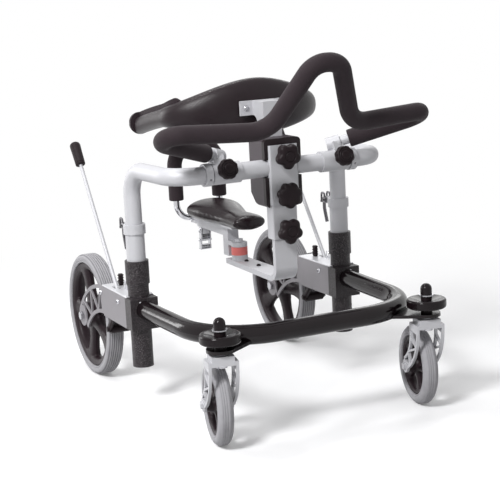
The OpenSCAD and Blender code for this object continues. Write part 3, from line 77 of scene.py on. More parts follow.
def colour(label, hex_code, note):
    return FloatVectorProperty(
        name=label, description=note, subtype="COLOR", size=3, min=0, max=1, default=linear(hex_code)
    )


def length(label, millimetres, note):
    return FloatProperty(name=label, description=note, unit="LENGTH", min=0, default=millimetres * MM)


def count(label, default, note):
    return IntProperty(name=label, description=note, min=1, max=24, default=default)


class TrainerColours(bpy.types.PropertyGroup):
    gloss_black: colour("Gloss black", "150e11", "Coat of the base tube and the caster plates")
    grained_black: colour("Grained black", "1c171a", "Coat of the columns and the bracket blocks")
    fleck: colour("Coat fleck", "6b6568", "Light flecks in the grained coat")
    silver: colour("Silver", "c1c1c5", "Coat of the frame tubes, posts and forks")
    plate_grey: colour("Plate grey", "888589", "Fork plates of the rear wheels")
    bright: colour("Bright metal", "d6d6da", "Bracket covers")
    bolt: colour("Bolt steel", "b4b4b8", "Bolts, pins and axles")
    tyre: colour("Tyre grey", "a2a1a5", "Tyres")
    rim: colour("Rim black", "261d21", "Rims of all wheels")
    plastic: colour("Black plastic", "1e1619", "Knobs, grips, caps and bumpers")
    foam: colour("Foam", "2e262a", "Handlebar and backrest covers, chest liner")
    shell: colour("Chest shell", "20171b", "Moulded front of the chest support")
    saddle: colour("Saddle", "190f13", "Saddle cover")
    # Painted sheen: the housing is black plastic, and this lighter grey on its sides stands in for the light
    # that they reflect.
    housing: colour("Chest housing", "423b40", "Sides of the chest housing")
    red: colour("Red block", "dc736e", "Swivel block under the saddle")
    scuff: colour("Tyre scuff", "7c7a7e", "Rubbed patches of the tyres")
    # Painted shade: the bottoms of the tyres' grooves are painted darker in this colour, in place of the
    # shade that falls in them.
    groove: colour("Tyre groove", "4b494d", "Bottom of the tyres' grooves")
    dark_steel: colour("Dark steel", "6e6c70", "Handles of the height clamps and set screws")
    chrome: colour("Chrome", "d0d0d4", "Backrest hoop, latch and loops of the brake catches")


class TrainerSizes(bpy.types.PropertyGroup):
    edge: length("Edge ease", 0.8, "Round on the edges of plates, blocks and posts")
    foam_d: length("Foam diameter", 39, "Handlebar cover")
    foam_bore: length("Foam bore", 22.6, "Hole of the handlebar cover")
    backrest_d: length("Backrest diameter", 36, "Backrest cover")
    backrest_bore: length("Backrest bore", 16.6, "Hole of the backrest cover")
    foam_edge: length("Foam edge", 3, "Round at the ends of the foam covers")
    groove_w: length("Groove width", 2, "Grooves of the rear tyres")
    groove_depth: length("Groove depth", 2, "Grooves of the rear tyres")
    rear_grooves: count("Rear grooves", 5, "Grooves round a rear tyre")
    caster_grooves: count("Caster grooves", 4, "Grooves round a caster tyre")
    spokes: count("Spokes", 5, "Spokes of each wheel")
    plate_screw: length("Plate screw", 13, "Heads of the screws through the fork plates")
    arm_screw: length("Arm screw", 11, "Heads of the screws on the saddle arm")
    block_screw: length("Block screw", 6, "Heads of the screws on the column blocks")
    set_screw: length("Set screw", 5, "Heads of the screws in the bar collars")
    catch_ribs: count("Catch ribs", 4, "Ribs on a brake catch")
    catch_pitch: length("Rib pitch", 6.2, "From rib to rib on a brake catch")


def colours():
    return bpy.context.scene.trainer_colours


def sizes():
    return bpy.context.scene.trainer_sizes


class Wire:
    """A value in a node tree. Arithmetic on it adds Math nodes."""

    def __init__(self, nodes, socket):
        self.nodes = nodes
        self.socket = socket

    def math(self, operation, first, second):
        return self.nodes.add("ShaderNodeMath", {"operation": operation}, {0: first, 1: second})

    def __add__(self, other):
        return self.math("ADD", self, other)

    def __radd__(self, other):
        return self.math("ADD", other, self)

    def __sub__(self, other):
        return self.math("SUBTRACT", self, other)

    def __rsub__(self, other):
        return self.math("SUBTRACT", other, self)

    def __mul__(self, other):
        return self.math("MULTIPLY", self, other)

    def __rmul__(self, other):
        return self.math("MULTIPLY", other, self)

    def larger(self, other):
        return self.math("MAXIMUM", self, other)

    def step(self, low, high):
        """0 below low, 1 above high, and smooth between."""
        inputs = {0: self, 1: low, 2: high, 3: 0.0, 4: 1.0}
        return self.nodes.add("ShaderNodeMapRange", {"interpolation_type": "SMOOTHSTEP"}, inputs)


class Nodes:
    """A node tree that is put together one node at a time."""

    def __init__(self, tree):
        self.tree = tree

    def plug(self, socket, value):
        if isinstance(value, Wire):
            self.tree.links.new(value.socket, socket)
        elif socket.type == "RGBA":
            socket.default_value = (*value, 1.0)
        else:
            socket.default_value = value

    def add(self, kind, settings, inputs, output=0):
        node = self.tree.nodes.new(kind)
        for name, value in settings.items():
            setattr(node, name, value)
        for name, value in inputs.items():
            self.plug(node.inputs[name], value)
        return Wire(self, node.outputs[output])


class Finish(Nodes):
    """A material, kept under its name."""

    made = {}

    def __init__(self, name):
        self.material = bpy.data.materials.new(name)
        self.material.use_nodes = True
        super().__init__(self.material.node_tree)
        self.shader = self.tree.nodes["Principled BSDF"]
        Finish.made[name] = self.material

    def place(self):
        return self.add("ShaderNodeTexCoord", {}, {}, "Object")

    def noise(self, size, detail=3.0, stretch=None):
        where = self.place()
        if stretch:
            where = self.add("ShaderNodeMapping", {}, {"Vector": where, "Scale": stretch})
        inputs = {"Vector": where, "Scale": 1 / size, "Detail": detail, "Roughness": 0.55}
        return self.add("ShaderNodeTexNoise", {}, inputs)

    def cells(self, size, feature="F1"):
        inputs = {"Vector": self.place(), "Scale": 1 / size}
        return self.add("ShaderNodeTexVoronoi", {"feature": feature}, inputs, "Distance")

    def marked(self, name):
        """A mark that the piece carries on its points."""
        return self.add("ShaderNodeAttribute", {"attribute_name": name}, {}, "Fac")

    def mix(self, factor, first, second):
        return self.add("ShaderNodeMix", {"data_type": "RGBA"}, {0: factor, 6: first, 7: second}, 2)

    def shades(self, base, spread, factor):
        """The base colour, from darker to lighter by spread, after factor."""
        darker = [c * (1 - spread) for c in base]
        lighter = [min(1.0, c * (1 + spread)) for c in base]
        return self.mix(factor, darker, lighter)

    def bump(self, height, depth):
        normal = self.add("ShaderNodeBump", {}, {"Height": height, "Distance": depth, "Strength": 1.0})
        self.plug(self.shader.inputs["Normal"], normal)

    def surface(self, **inputs):
        for name, value in inputs.items():
            self.plug(self.shader.inputs[name.replace("_", " ").title().replace("Ior", "IOR")], value)
        return self.material


def gloss_black_coat():
    f = Finish("gloss_black_coat")
    peel = f.noise(0.007, 2)
    dust = f.noise(0.03, 4)
    f.bump(peel, 0.0002)
    return f.surface(
        base_color=f.shades(colours().gloss_black, 0.3, dust),
        roughness=0.09 + 0.1 * dust,
        specular_ior_level=0.26,
    )


def grained_black_coat():
    f = Finish("grained_black_coat")
    cloud = f.noise(0.004, 3)
    grain = f.noise(0.0016, 2)
    fleck = grain.step(0.52, 0.66)
    f.bump(cloud * 0.6 + grain, 0.0009)
    return f.surface(
        base_color=f.mix(fleck * 0.9, colours().grained_black, colours().fleck),
        roughness=0.3 + 0.2 * cloud,
        specular_ior_level=0.3,
    )


def silver_coat():
    f = Finish("silver_coat")
    flake = f.noise(0.0009, 1)
    cloud = f.noise(0.05, 3)
    f.bump(f.noise(0.004, 3), 0.00016)
    return f.surface(
        base_color=f.shades(colours().silver, 0.1, flake * 0.7 + cloud * 0.3),
        metallic=0.2,
        roughness=0.46 + 0.1 * flake,
        specular_ior_level=0.35,
    )


def brushed(name, base, metallic, rough, stretch):
    f = Finish(name)
    lines = f.noise(0.0012, 2, stretch)
    wear = f.noise(0.02, 4)
    f.bump(lines, 0.00008)
    return f.surface(
        base_color=f.shades(base, 0.1, lines * 0.6 + wear * 0.4),
        metallic=metallic,
        roughness=rough + 0.14 * lines,
        specular_ior_level=0.35,
    )


def tyre_rubber():
    f = Finish("tyre_rubber")
    dust = f.noise(0.012, 5)
    pores = f.noise(0.0009, 2)
    scuff = f.noise(0.03, 4).step(0.5, 0.72)
    rolled = f.mix(scuff * 0.2, f.shades(colours().tyre, 0.12, dust), colours().scuff)
    f.bump(pores, 0.00018)
    return f.surface(
        # The marked grooves are painted darker: painted shade.
        base_color=f.mix(f.marked("groove"), rolled, colours().groove),
        roughness=0.6 + 0.2 * dust,
        specular_ior_level=0.3,
    )


def moulded(name, base, rough, grain=0.0012, depth=0.00012, gloss=0.25):
    f = Finish(name)
    skin = f.cells(grain)
    cloud = f.noise(0.02, 4)
    f.bump(skin, depth)
    return f.surface(
        base_color=f.shades(base, 0.18, cloud),
        roughness=rough + 0.12 * cloud,
        specular_ior_level=gloss,
    )


HOUSING_RIM = 0.011
HOUSING_RIM_EDGE = 0.0015


def housing_plastic():
    """Black plastic at the front rim; the sides are painted lighter grey, a painted sheen of the light that
    they reflect.
    """
    f = Finish("housing_plastic")
    rim_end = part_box("chest_housing")[0][1] + HOUSING_RIM
    depth = f.add("ShaderNodeSeparateXYZ", {}, {0: f.place()}, "Y")
    cloud = f.noise(0.02, 4)
    f.bump(f.cells(0.0012), 0.00012)
    # The sides behind the front rim are painted lighter: painted sheen, with the mask 0 on the rim and 1 on
    # the sides.
    sides = f.shades(colours().housing, 0.12, cloud)
    painted_sheen_mask = depth.step(rim_end, rim_end + HOUSING_RIM_EDGE)
    return f.surface(
        base_color=f.mix(painted_sheen_mask, colours().plastic, sides),
        roughness=0.34 + 0.12 * cloud,
        specular_ior_level=0.2,
    )


def foam_skin(name, base, gloss=0.16):
    f = Finish(name)
    cell = f.cells(0.0015, "SMOOTH_F1")
    pores = f.noise(0.0008, 2)
    rub = f.noise(0.03, 4)
    f.bump(cell * 0.6 + pores * 0.6, 0.0006)
    return f.surface(
        base_color=f.shades(base, 0.28, rub * 0.4 + pores * 0.6),
        roughness=0.62 + 0.2 * pores,
        specular_ior_level=gloss,
        sheen_weight=0.06,
        sheen_roughness=0.5,
    )


def vinyl_cover():
    f = Finish("vinyl_cover")
    grain = f.cells(0.0017)
    fold = f.noise(0.03, 3)
    f.bump(grain, 0.00012)
    return f.surface(
        base_color=f.shades(colours().saddle, 0.2, fold),
        roughness=0.2 + 0.1 * fold,
        specular_ior_level=0.24,
    )


def polished_metal(name, base, rough):
    f = Finish(name)
    smear = f.noise(0.02, 4)
    return f.surface(
        base_color=f.shades(base, 0.06, smear),
        metallic=1.0,
        roughness=rough + 0.06 * smear,
    )


def red_rubber():
    f = Finish("red_rubber")
    cloud = f.noise(0.01, 4)
    f.bump(f.noise(0.001, 2), 0.0001)
    return f.surface(base_color=f.shades(colours().red, 0.16, cloud), roughness=0.5 + 0.12 * cloud)


def finish(name):
    """The named finish, made when it is first asked for."""
    if name not in Finish.made:
        c = colours()
        makers = {
            "gloss_black_coat": gloss_black_coat,
            "grained_black_coat": grained_black_coat,
            "silver_coat": silver_coat,
            "plate_grey": lambda: brushed("plate_grey", c.plate_grey, 0.25, 0.42, (1.0, 0.12, 1.0)),
            "bright_metal": lambda: brushed("bright_metal", c.bright, 0.5, 0.3, (1.0, 0.1, 1.0)),
            "bolt_steel": lambda: polished_metal("bolt_steel", c.bolt, 0.24),
            "dark_steel": lambda: polished_metal("dark_steel", c.dark_steel, 0.2),
            "bright_chrome": lambda: polished_metal("bright_chrome", c.chrome, 0.08),
            "tyre_rubber": tyre_rubber,
            "rim_plastic": lambda: moulded("rim_plastic", c.rim, 0.3, gloss=0.14),
            "black_plastic": lambda: moulded("black_plastic", c.plastic, 0.34, gloss=0.13),
            "gloss_plastic": lambda: moulded("gloss_plastic", c.gloss_black, 0.1, 0.003, 0.00005, 0.2),
            "housing_plastic": housing_plastic,
            "grip_rubber": lambda: moulded("grip_rubber", c.plastic, 0.55, gloss=0.2),
            "bar_foam": lambda: foam_skin("bar_foam", c.foam),
            "liner_foam": lambda: foam_skin("liner_foam", c.foam, 0.12),
            "shell_skin": lambda: moulded("shell_skin", c.shell, 0.27, 0.0014, 0.0002, 0.26),
            "vinyl_cover": vinyl_cover,
            "red_rubber": red_rubber,
        }
        makers[name]()
    return Finish.made[name]


def add_object(name, mesh):
    piece = bpy.data.objects.new(name, mesh)
    bpy.context.scene.collection.objects.link(piece)
    return piece


def put(piece, look, body, stands_for=()):
    """Gives a piece its finish and its body, and hides the CAD nodes that it stands for."""
    piece.data.materials.clear()
    piece.data.materials.append(finish(look))
    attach(piece, body)
    if stands_for:
        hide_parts(*stands_for)
    return piece


def put_as(piece, look, node):
    """Puts a piece in the place of one CAD node."""
    return put(piece, look, BODY_OF[node], [node])


def merged(mesh, reach):
    """A working copy of a mesh in which points closer than reach are one."""
    work = bmesh.new()
    work.from_mesh(mesh)
    bmesh.ops.remove_doubles(work, verts=work.verts, dist=reach)
    return work


def written(work, mesh):
    """Puts the working copy back into its mesh, with smooth faces."""
    for face in work.faces:
        face.smooth = True
    work.to_mesh(mesh)
    work.free()


def mesh_piece(name, points, faces, sharp=None):
    """A closed skin as an object. Edges that turn by more than sharp degrees stay crisp."""
    mesh = bpy.data.meshes.new(name)
    mesh.from_pydata([tuple(p) for p in points], [], faces)
    work = merged(mesh, POINT_MERGE)
    bmesh.ops.recalc_face_normals(work, faces=work.faces)
    written(work, mesh)
    if sharp:
        mesh.set_sharp_from_angle(angle=math.radians(sharp))
    return add_object(name, mesh)


def together(*skins):
    """Several skins as one list of points and one of faces."""
    points, faces = [], []
    for more_points, more_faces in skins:
        start = len(points)
        points += more_points
        faces += [tuple(start + i for i in face) for face in more_faces]
    return points, faces


def baked(piece):
    """The piece with its modifiers turned into plain mesh."""
    graph = bpy.context.evaluated_depsgraph_get()
    mesh = bpy.data.meshes.new_from_object(piece.evaluated_get(graph))
    piece.modifiers.clear()
    piece.data = mesh
    return piece


def lofted(rings, closed=False):
    """A skin over closed rings, with its ends filled unless the rings come round again."""
    n = len(rings[0])
    total = len(rings)
    points = [p for ring in rings for p in ring]
    faces = []
    for i in range(total if closed else total - 1):
        a, b = i * n, (i + 1) % total * n
        for j in range(n):
            k = (j + 1) % n
            faces.append((a + j, a + k, b + k, b + j))
    if not closed:
        for start, ring in ((0, rings[0]), ((total - 1) * n, rings[-1])):
            middle = sum((Vector(p) for p in ring), Vector()) / n
            points.append(middle)
            faces += [(start + j, start + (j + 1) % n, len(points) - 1) for j in range(n)]
    return points, faces


def axes(axis):
    """A direction and two directions across it."""
    axis = Vector(axis).normalized()
    across = axis.orthogonal().normalized()
    return axis, across, axis.cross(across)


def turned(profile, centre, axis, steps):
    """A skin turned about an axis. The profile is a closed line of (along, radius) in millimetres."""
    axis, across, other = axes(axis)
    rings = []
    for k in range(steps):
        a = 2 * math.pi * k / steps
        out = across * math.cos(a) + other * math.sin(a)
        rings.append([centre + (axis * along + out * radius) * MM for along, radius in profile])
    return lofted(rings, closed=True)


BEND_FINER = 1.6
BEND_STEPS = 6


def leg(start, end, spacing):
    """Points along a straight leg, after its start."""
    steps = max(1, round((end - start).length / spacing))
    return [start.lerp(end, k / steps) for k in range(1, steps + 1)]


def bent_path(corners, bends, spacing):
    """Points along straight legs and round bends."""
    points = [corners[0]]
    for before, corner, following, radius in zip(corners, corners[1:], corners[2:], bends):
        ahead = (corner - before).normalized()
        after = (following - corner).normalized()
        turn = ahead.angle(after)
        inward = (after - ahead * after.dot(ahead)).normalized()
        start = corner - ahead * radius * math.tan(turn / 2)
        centre = start + inward * radius
        points += leg(points[-1], start, spacing)
        steps = max(BEND_STEPS, round(radius * turn / spacing * BEND_FINER))
        for k in range(1, steps + 1):
            a = turn * k / steps
            points.append(centre - inward * radius * math.cos(a) + ahead * radius * math.sin(a))
    return points + leg(points[-1], corners[-1], spacing)


def path_frames(points, across=None):
    """A point, a way ahead and two ways across, carried along a path without twist."""
    ways = []
    for i in range(len(points)):
        before, after = points[max(0, i - 1)], points[min(len(points) - 1, i + 1)]
        ways.append((after - before).normalized())
    across = across or ways[0].orthogonal().normalized()
    frames = []
    for point, way in zip(points, ways):
        across = (across - way * across.dot(way)).normalized()
        frames.append((point, way, across, way.cross(across)))
    return frames


def rounded(value, power):
    return math.copysign(abs(value) ** power, value)


def oval(place, across, other, wide, thick, steps, power=1.0):
    """A closed ring, round at power 1 and squarer below it."""
    ring = []
    for j in range(steps):
        a = 2 * math.pi * j / steps
        side, up = rounded(math.cos(a), power), rounded(math.sin(a), power)
        ring.append(place + across * side * wide / 2 + other * up * thick / 2)
    return ring


def strip(points, across, wide, thick, steps=20, power=0.7):
    """A flat or round bar along a path."""
    frames = path_frames(points, across)
    return lofted([oval(point, side, up, wide, thick, steps, power) for point, _, side, up in frames])


def sleeve(points, radius, bore, edge, steps=40):
    """A foam sleeve along a path, with eased ends and a bore."""
    frames = path_frames(points)

    def ring(place, r, shift=0.0):
        point, way, across, other = place
        return oval(point + way * shift, across, other, 2 * r, 2 * r, steps)

    first, last = frames[0], frames[-1]
    turns = [math.pi / 2 * k / 5 for k in range(6)]
    ease = [(1 - math.cos(a), 1 - math.sin(a)) for a in turns]
    rings = [ring(first, bore)]
    rings += [ring(first, radius - edge * drop, edge * along) for along, drop in ease]
    rings += [ring(f, radius) for f in frames[1:-1]]
    rings += [ring(last, radius - edge * drop, -edge * along) for along, drop in reversed(ease)]
    rings.append(ring(last, bore))
    rings += [ring(f, bore) for f in reversed(frames[1:-1])]
    return lofted(rings, closed=True)


def mirrored_path(half):
    """The half path, and its mirror image run backwards."""
    return half + [Vector((-p.x, p.y, p.z)) for p in reversed(half) if abs(p.x) > 1e-9]


def mirrored_line(half):
    """A profile from its first half, with the other half mirrored about its middle."""
    return half + [(-along, radius) for along, radius in reversed(half) if along]


def rod_line(half, radius):
    """The profile of a plain rod that reaches half to either side."""
    return mirrored_line([(-half, 0), (-half, radius)])


def metres(x, y, z):
    return Vector((x, y, z)) * MM


def smooth(t):
    t = min(1.0, max(0.0, t))
    return t * t * (3 - 2 * t)


def middle_of(node):
    low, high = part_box(node)
    return (Vector(low) + Vector(high)) / 2


# Foam covers of the handlebar and the backrest

BAR = metres(0, -218, 543.5)
BAR_CORNERS = [
    BAR + metres(*corner)
    for corner in ((172, 0, 45), (367, -101, 106), (96, -147, 95.5), (30, -228.5, 230.5))
]
BAR_BENDS = [0.035, 0.067, 0.041, 0.041, 0.067, 0.035]
HOOP_FOAM_END = metres(58, 240, 420.3)
HOOP_CORNER = metres(58, 240, 556.3)
HOOP_BENDS = [0.054, 0.054]


class TRAINER_OT_handlebar_foam(bpy.types.Operator):
    """Foam cover of the handlebar, with eased ends"""

    bl_idname = "trainer.handlebar_foam"
    bl_label = "Handlebar foam"

    def execute(self, context):
        s = sizes()
        path = bent_path(mirrored_path(BAR_CORNERS), BAR_BENDS, spacing=0.008)
        cover = sleeve(path, s.foam_d / 2, s.foam_bore / 2, s.foam_edge)
        piece = mesh_piece("handlebar_foam_cover", *cover)
        put_as(piece, "bar_foam", "handlebar_foam")
        return {"FINISHED"}


class TRAINER_OT_backrest_foam(bpy.types.Operator):
    """Foam cover of the backrest hoop"""

    bl_idname = "trainer.backrest_foam"
    bl_label = "Backrest foam"

    def execute(self, context):
        s = sizes()
        path = bent_path(mirrored_path([HOOP_FOAM_END, HOOP_CORNER]), HOOP_BENDS, spacing=0.007)
        cover = sleeve(path, s.backrest_d / 2, s.backrest_bore / 2, s.foam_edge)
        piece = mesh_piece("backrest_foam_cover", *cover)
        put_as(piece, "bar_foam", "backrest_foam")
        return {"FINISHED"}


# Chest support: half an ellipse at the front and two straight arms, in millimetres

CHEST_FRONT = -111.0
CHEST_CURVE = 96.0
CHEST_HALF = 172.0
CHEST_ARM = 172.0
CHEST_Z = 668.0
FRONT_H = 126.0
END_H = 40.0
END_DROP = 47.0
BULGE = 26.0
LINER = 24.0
LINER_OVER = 12.0
LINER_ROLL = 36.0
ROLL_WRAP = 8.0
ROLL_OPENING = math.radians(165)
ROLL_TIP = math.radians(86)
CHEST_END = CHEST_FRONT + CHEST_CURVE + CHEST_ARM
SEAM_GAP = 0.3
CHEST_STEPS = (48, 26)

# How the pad changes along the way from its middle to its end

NARROW_AT = 0.66
SWELL_LOST = 0.38
DROP_POWER = 1.8
OVER_FROM = 0.43
OVER_RISE = 0.05


def chest_stations(curve_steps, arm_steps):
    """Places along the pad, right to left: x, y, outward x and y, and share of the way to the end."""
    half = []
    middle = CHEST_FRONT + CHEST_CURVE
    for i in range(curve_steps + 1):
        a = math.pi / 2 * i / curve_steps
        out = Vector((math.sin(a) / CHEST_HALF, -math.cos(a) / CHEST_CURVE)).normalized()
        half.append((CHEST_HALF * math.sin(a), middle - CHEST_CURVE * math.cos(a), out.x, out.y))
    for i in range(1, arm_steps + 1):
        half.append((CHEST_HALF, middle + CHEST_ARM * i / arm_steps, 1.0, 0.0))
    runs = [0.0]
    for before, after in zip(half, half[1:]):
        runs.append(runs[-1] + math.dist(before[:2], after[:2]))
    half = [(*place, run / runs[-1]) for place, run in zip(half, runs)]
    return [(-x, y, -u, v, share) for x, y, u, v, share in reversed(half[1:])] + half


def shell_height(share):
    return FRONT_H + (END_H - FRONT_H) * smooth(share / NARROW_AT)


def shell_swell(share):
    return BULGE * (1 - SWELL_LOST * share)


def pad_middle(share):
    return CHEST_Z - END_DROP * share**DROP_POWER


def half_round(station, reach, mid, height, shift, steps, power=0.9):
    """A D-shaped ring: flat on the pad's middle surface, swelling by reach to one side."""
    x, y, u, v, _ = station
    ring = []
    for j in range(steps + 1):
        a = -math.pi / 2 + math.pi * j / steps
        out = shift + reach * rounded(math.cos(a), power)
        ring.append(metres(x + u * out, y + v * out, mid + height / 2 * rounded(math.sin(a), power)))
    return ring


class TRAINER_OT_chest_shell(bpy.types.Operator):
    """Moulded front of the chest support"""

    bl_idname = "trainer.chest_shell"
    bl_label = "Chest shell"

    def execute(self, context):
        rings = []
        for station in chest_stations(*CHEST_STEPS):
            share = station[-1]
            swell, middle, height = shell_swell(share), pad_middle(share), shell_height(share)
            rings.append(half_round(station, swell, middle, height, shift=0, steps=30))
        piece = mesh_piece("chest_shell_moulding", *lofted(rings), sharp=50)
        put_as(piece, "shell_skin", "chest_shell")
        return {"FINISHED"}


def liner_rings(steps=30):
    """The liner's rings, with the rolls that close over the ends of the shell."""
    rings = []
    for station in chest_stations(*CHEST_STEPS):
        share = station[-1]
        over = LINER_OVER * smooth((share - OVER_FROM) / OVER_RISE)
        middle, height = pad_middle(share) + over / 2, shell_height(share) + over
        rings.append(half_round(station, -LINER, middle, height, -SEAM_GAP, steps))
    swell = shell_swell(1)
    roll_x = CHEST_HALF + (swell + ROLL_WRAP - LINER) / 2
    roll_z = pad_middle(1) + LINER_OVER / 2

    def roll(side, turn):
        wide = (LINER + swell + ROLL_WRAP) * math.cos(turn)
        height = (END_H + LINER_OVER) * math.cos(turn)
        y = CHEST_END + SEAM_GAP + (LINER_ROLL - SEAM_GAP) * math.sin(turn)
        ring = []
        for j in range(steps + 1):
            a = ROLL_OPENING * (2 * j / steps - 1)
            x = roll_x - wide / 2 * math.cos(a)
            ring.append(metres(side * x, y, roll_z + height / 2 * math.sin(a)))
        return ring

    turns = [ROLL_TIP * k / 10 for k in range(11)]
    return [roll(-1, t) for t in reversed(turns)] + rings + [roll(1, t) for t in turns]


class TRAINER_OT_chest_liner(bpy.types.Operator):
    """Padded liner of the chest support"""

    bl_idname = "trainer.chest_liner"
    bl_label = "Chest liner"

    def execute(self, context):
        piece = mesh_piece("chest_liner_pad", *lofted(liner_rings()), sharp=60)
        put_as(piece, "liner_foam", "chest_liner")
        return {"FINISHED"}


# Saddle, in millimetres

SADDLE_FRONT = -70.0
SADDLE_LEN = 275.0
SADDLE_LOW = 383.6
SADDLE_H = 42.0
NOSE_H = 29.0
NOSE_W = 88.0
REAR_W = 134.0
SADDLE_SWELL = 1.5

# Its form: rounds and flare in shares of its length, tuck and crown in shares of its width and height

NOSE_ROUND = 0.07
REAR_ROUND = 0.15
FLARE_FROM = 0.3
FLARE_RUN = 0.47
TUCK = 0.2
CROWN = 0.16
SQUARE = 0.8

# Part of a step that is left off at each end, where the rings would close to a point

END_SKIP = 0.35


def end_round(t):
    """1 along the saddle, and falling in a quarter round to 0 at the nose and at the rear."""
    reach = min(t / NOSE_ROUND, (1 - t) / REAR_ROUND)
    return math.sqrt(max(0.0, 1 - max(0.0, 1 - reach) ** 2))


def saddle_ring(t, points):
    """One cross-section of the saddle: crowned on top, drawn in underneath."""
    flare = smooth((t - FLARE_FROM) / FLARE_RUN)
    w = (NOSE_W + (REAR_W - NOSE_W) * flare) / 2 * end_round(t) - SADDLE_SWELL
    h = NOSE_H + (SADDLE_H - NOSE_H) * flare
    lift = h * CROWN
    ease = (1 + end_round(t)) / 2
    y = SADDLE_FRONT + SADDLE_SWELL + (SADDLE_LEN - 2 * SADDLE_SWELL) * t
    ring = []
    for j in range(points):
        a = 2 * math.pi * j / points
        top = math.sin(a) > 0
        side = rounded(math.cos(a), SQUARE) * w * (1 if top else 1 + TUCK * math.sin(a))
        crown = lift * (1 - (side / (w + 2)) ** 2) if top else -lift
        up = (h / 2 - lift) * rounded(math.sin(a), SQUARE) + crown
        ring.append(metres(side, y, SADDLE_LOW + h / 2 + up * (ease if top else 1)))
    return ring


SWELL_FRAMES = 20


def puffed(piece, voxel, pressure, most):
    """Blows a closed pad up a little as cloth, no point further than most, and smooths it."""
    remesh = piece.modifiers.new("even", "REMESH")
    remesh.mode = "VOXEL"
    remesh.voxel_size = voxel
    baked(piece)
    start = [v.co.copy() for v in piece.data.vertices]
    cloth = piece.modifiers.new("swell", "CLOTH")
    cloth.settings.quality = 5
    cloth.settings.use_pressure = True
    cloth.settings.uniform_pressure_force = pressure
    cloth.settings.effector_weights.gravity = 0
    cloth.point_cache.frame_start = 1
    cloth.point_cache.frame_end = SWELL_FRAMES
    scene = bpy.context.scene
    for step in range(1, SWELL_FRAMES + 1):
        scene.frame_set(step)
    graph = bpy.context.evaluated_depsgraph_get()
    swollen = [v.co.copy() for v in piece.evaluated_get(graph).data.vertices]
    piece.modifiers.clear()
    scene.frame_set(1)
    for vertex, before, after in zip(piece.data.vertices, start, swollen):
        move = after - before
        vertex.co = before + move * min(1.0, most / max(move.length, 1e-9))
    even = piece.modifiers.new("settle", "SMOOTH")
    even.factor = 0.5
    even.iterations = 6
    finer = piece.modifiers.new("finer", "SUBSURF")
    finer.levels = 1
    finer.render_levels = 1
    baked(piece)
    for polygon in piece.data.polygons:
        polygon.use_smooth = True


class TRAINER_OT_saddle(bpy.types.Operator):
    """Padded saddle, blown up as cloth"""

    bl_idname = "trainer.saddle"
    bl_label = "Saddle"

    def execute(self, context):
        steps = 72
        turns = [math.pi * (i + END_SKIP) / (steps + 2 * END_SKIP) for i in range(steps + 1)]
        rings = [saddle_ring((1 - math.cos(a)) / 2, points=64) for a in turns]
        piece = mesh_piece("saddle_pad", *lofted(rings))
        puffed(piece, voxel=0.004, pressure=4.0, most=SADDLE_SWELL * 2 * MM)
        put_as(piece, "vinyl_cover", "saddle_cushion")
        return {"FINISHED"}


# Knobs, in millimetres. A line's points are along the axis, radius, and dip between the lobes.

STEM = [(0, 0, 0), (0, 11, 0), (0.6, 12, 0), (9, 12, 0)]
GRIP = [
    (9.4, 18, 1.5), (10.2, 23.5, 3.6), (12, 26.8, 5), (15, 28.3, 5.5), (20, 28.6, 5.5), (25, 28.2, 5.5),
]
RINGED_FACE = [
    (28.5, 26.8, 5.2), (31, 24.2, 4.4), (32.6, 20.6, 3.2), (33.3, 16.5, 1.5), (33.4, 13.4, 0.4),
    (33.2, 12.8, 0), (31.8, 12.4, 0), (31.8, 10.6, 0), (33, 10.2, 0), (33.3, 9.4, 0), (32.6, 8, 0),
    (32.4, 4, 0), (32.4, 0, 0),
]
DOMED_FACE = [
    (28.5, 26.9, 5.1), (31, 24.6, 4.4), (32.8, 21, 3.4), (34, 16.5, 2), (34.6, 11, 0.8), (34.9, 5, 0.2),
    (35, 0, 0),
]
BAR_KNOB = [
    (0, 0, 0), (0, 8.4, 0), (0.6, 9, 0), (6, 9, 0), (6.4, 15, 0.6), (7.4, 19.4, 1.8), (9.5, 21.8, 2.6),
    (13, 22.5, 2.8), (19, 22.4, 2.8), (22.4, 21.2, 2.4), (24.2, 19, 1.5), (24.6, 17.6, 0.5),
    (24.2, 16.8, 0), (23.2, 16.4, 0), (23.2, 15, 0), (24.4, 14.4, 0), (24.8, 13.4, 0), (24.6, 12.2, 0),
    (23.6, 11.8, 0), (23.6, 10.6, 0), (25, 9.8, 0), (25.6, 6, 0), (25.8, 0, 0),
]
KNOB_LIFT = math.radians(19.5)
KNOB_WAY = Vector((0, -math.cos(KNOB_LIFT), math.sin(KNOB_LIFT)))
KNOB_X = 140.0
KNOB_SEAT = 23.3
LOBE_ROUND = 1.4
POST_KNOBS = (
    ("upper_post_knob", metres(0, -238.3, 570), STEM + GRIP + RINGED_FACE, 5, 1.0),
    ("middle_post_knob", metres(0, -238.3, 485.5), STEM + GRIP + DOMED_FACE, 7, 0.62),
    ("lower_post_knob", metres(0, -233.3, 407), STEM + GRIP + RINGED_FACE, 5, 1.0),
)


def knob(seat, axis, lines, lobes, dip_share, steps=140):
    """A lobed knob about an axis, with a dip between two lobes on top."""
    up = X_AXIS.cross(axis)
    if up.z < 0:
        up = -up
    rings = []
    for k in range(steps):
        a = 2 * math.pi * k / steps
        out = up * math.cos(a) + X_AXIS * math.sin(a)
        dip = ((1 + math.cos(lobes * a)) / 2) ** LOBE_ROUND * dip_share
        ring = [seat + (axis * along + out * max(0.0, r - dip * d)) * MM for along, r, d in lines]
        rings.append(ring + [seat])
    return lofted(rings, closed=True)


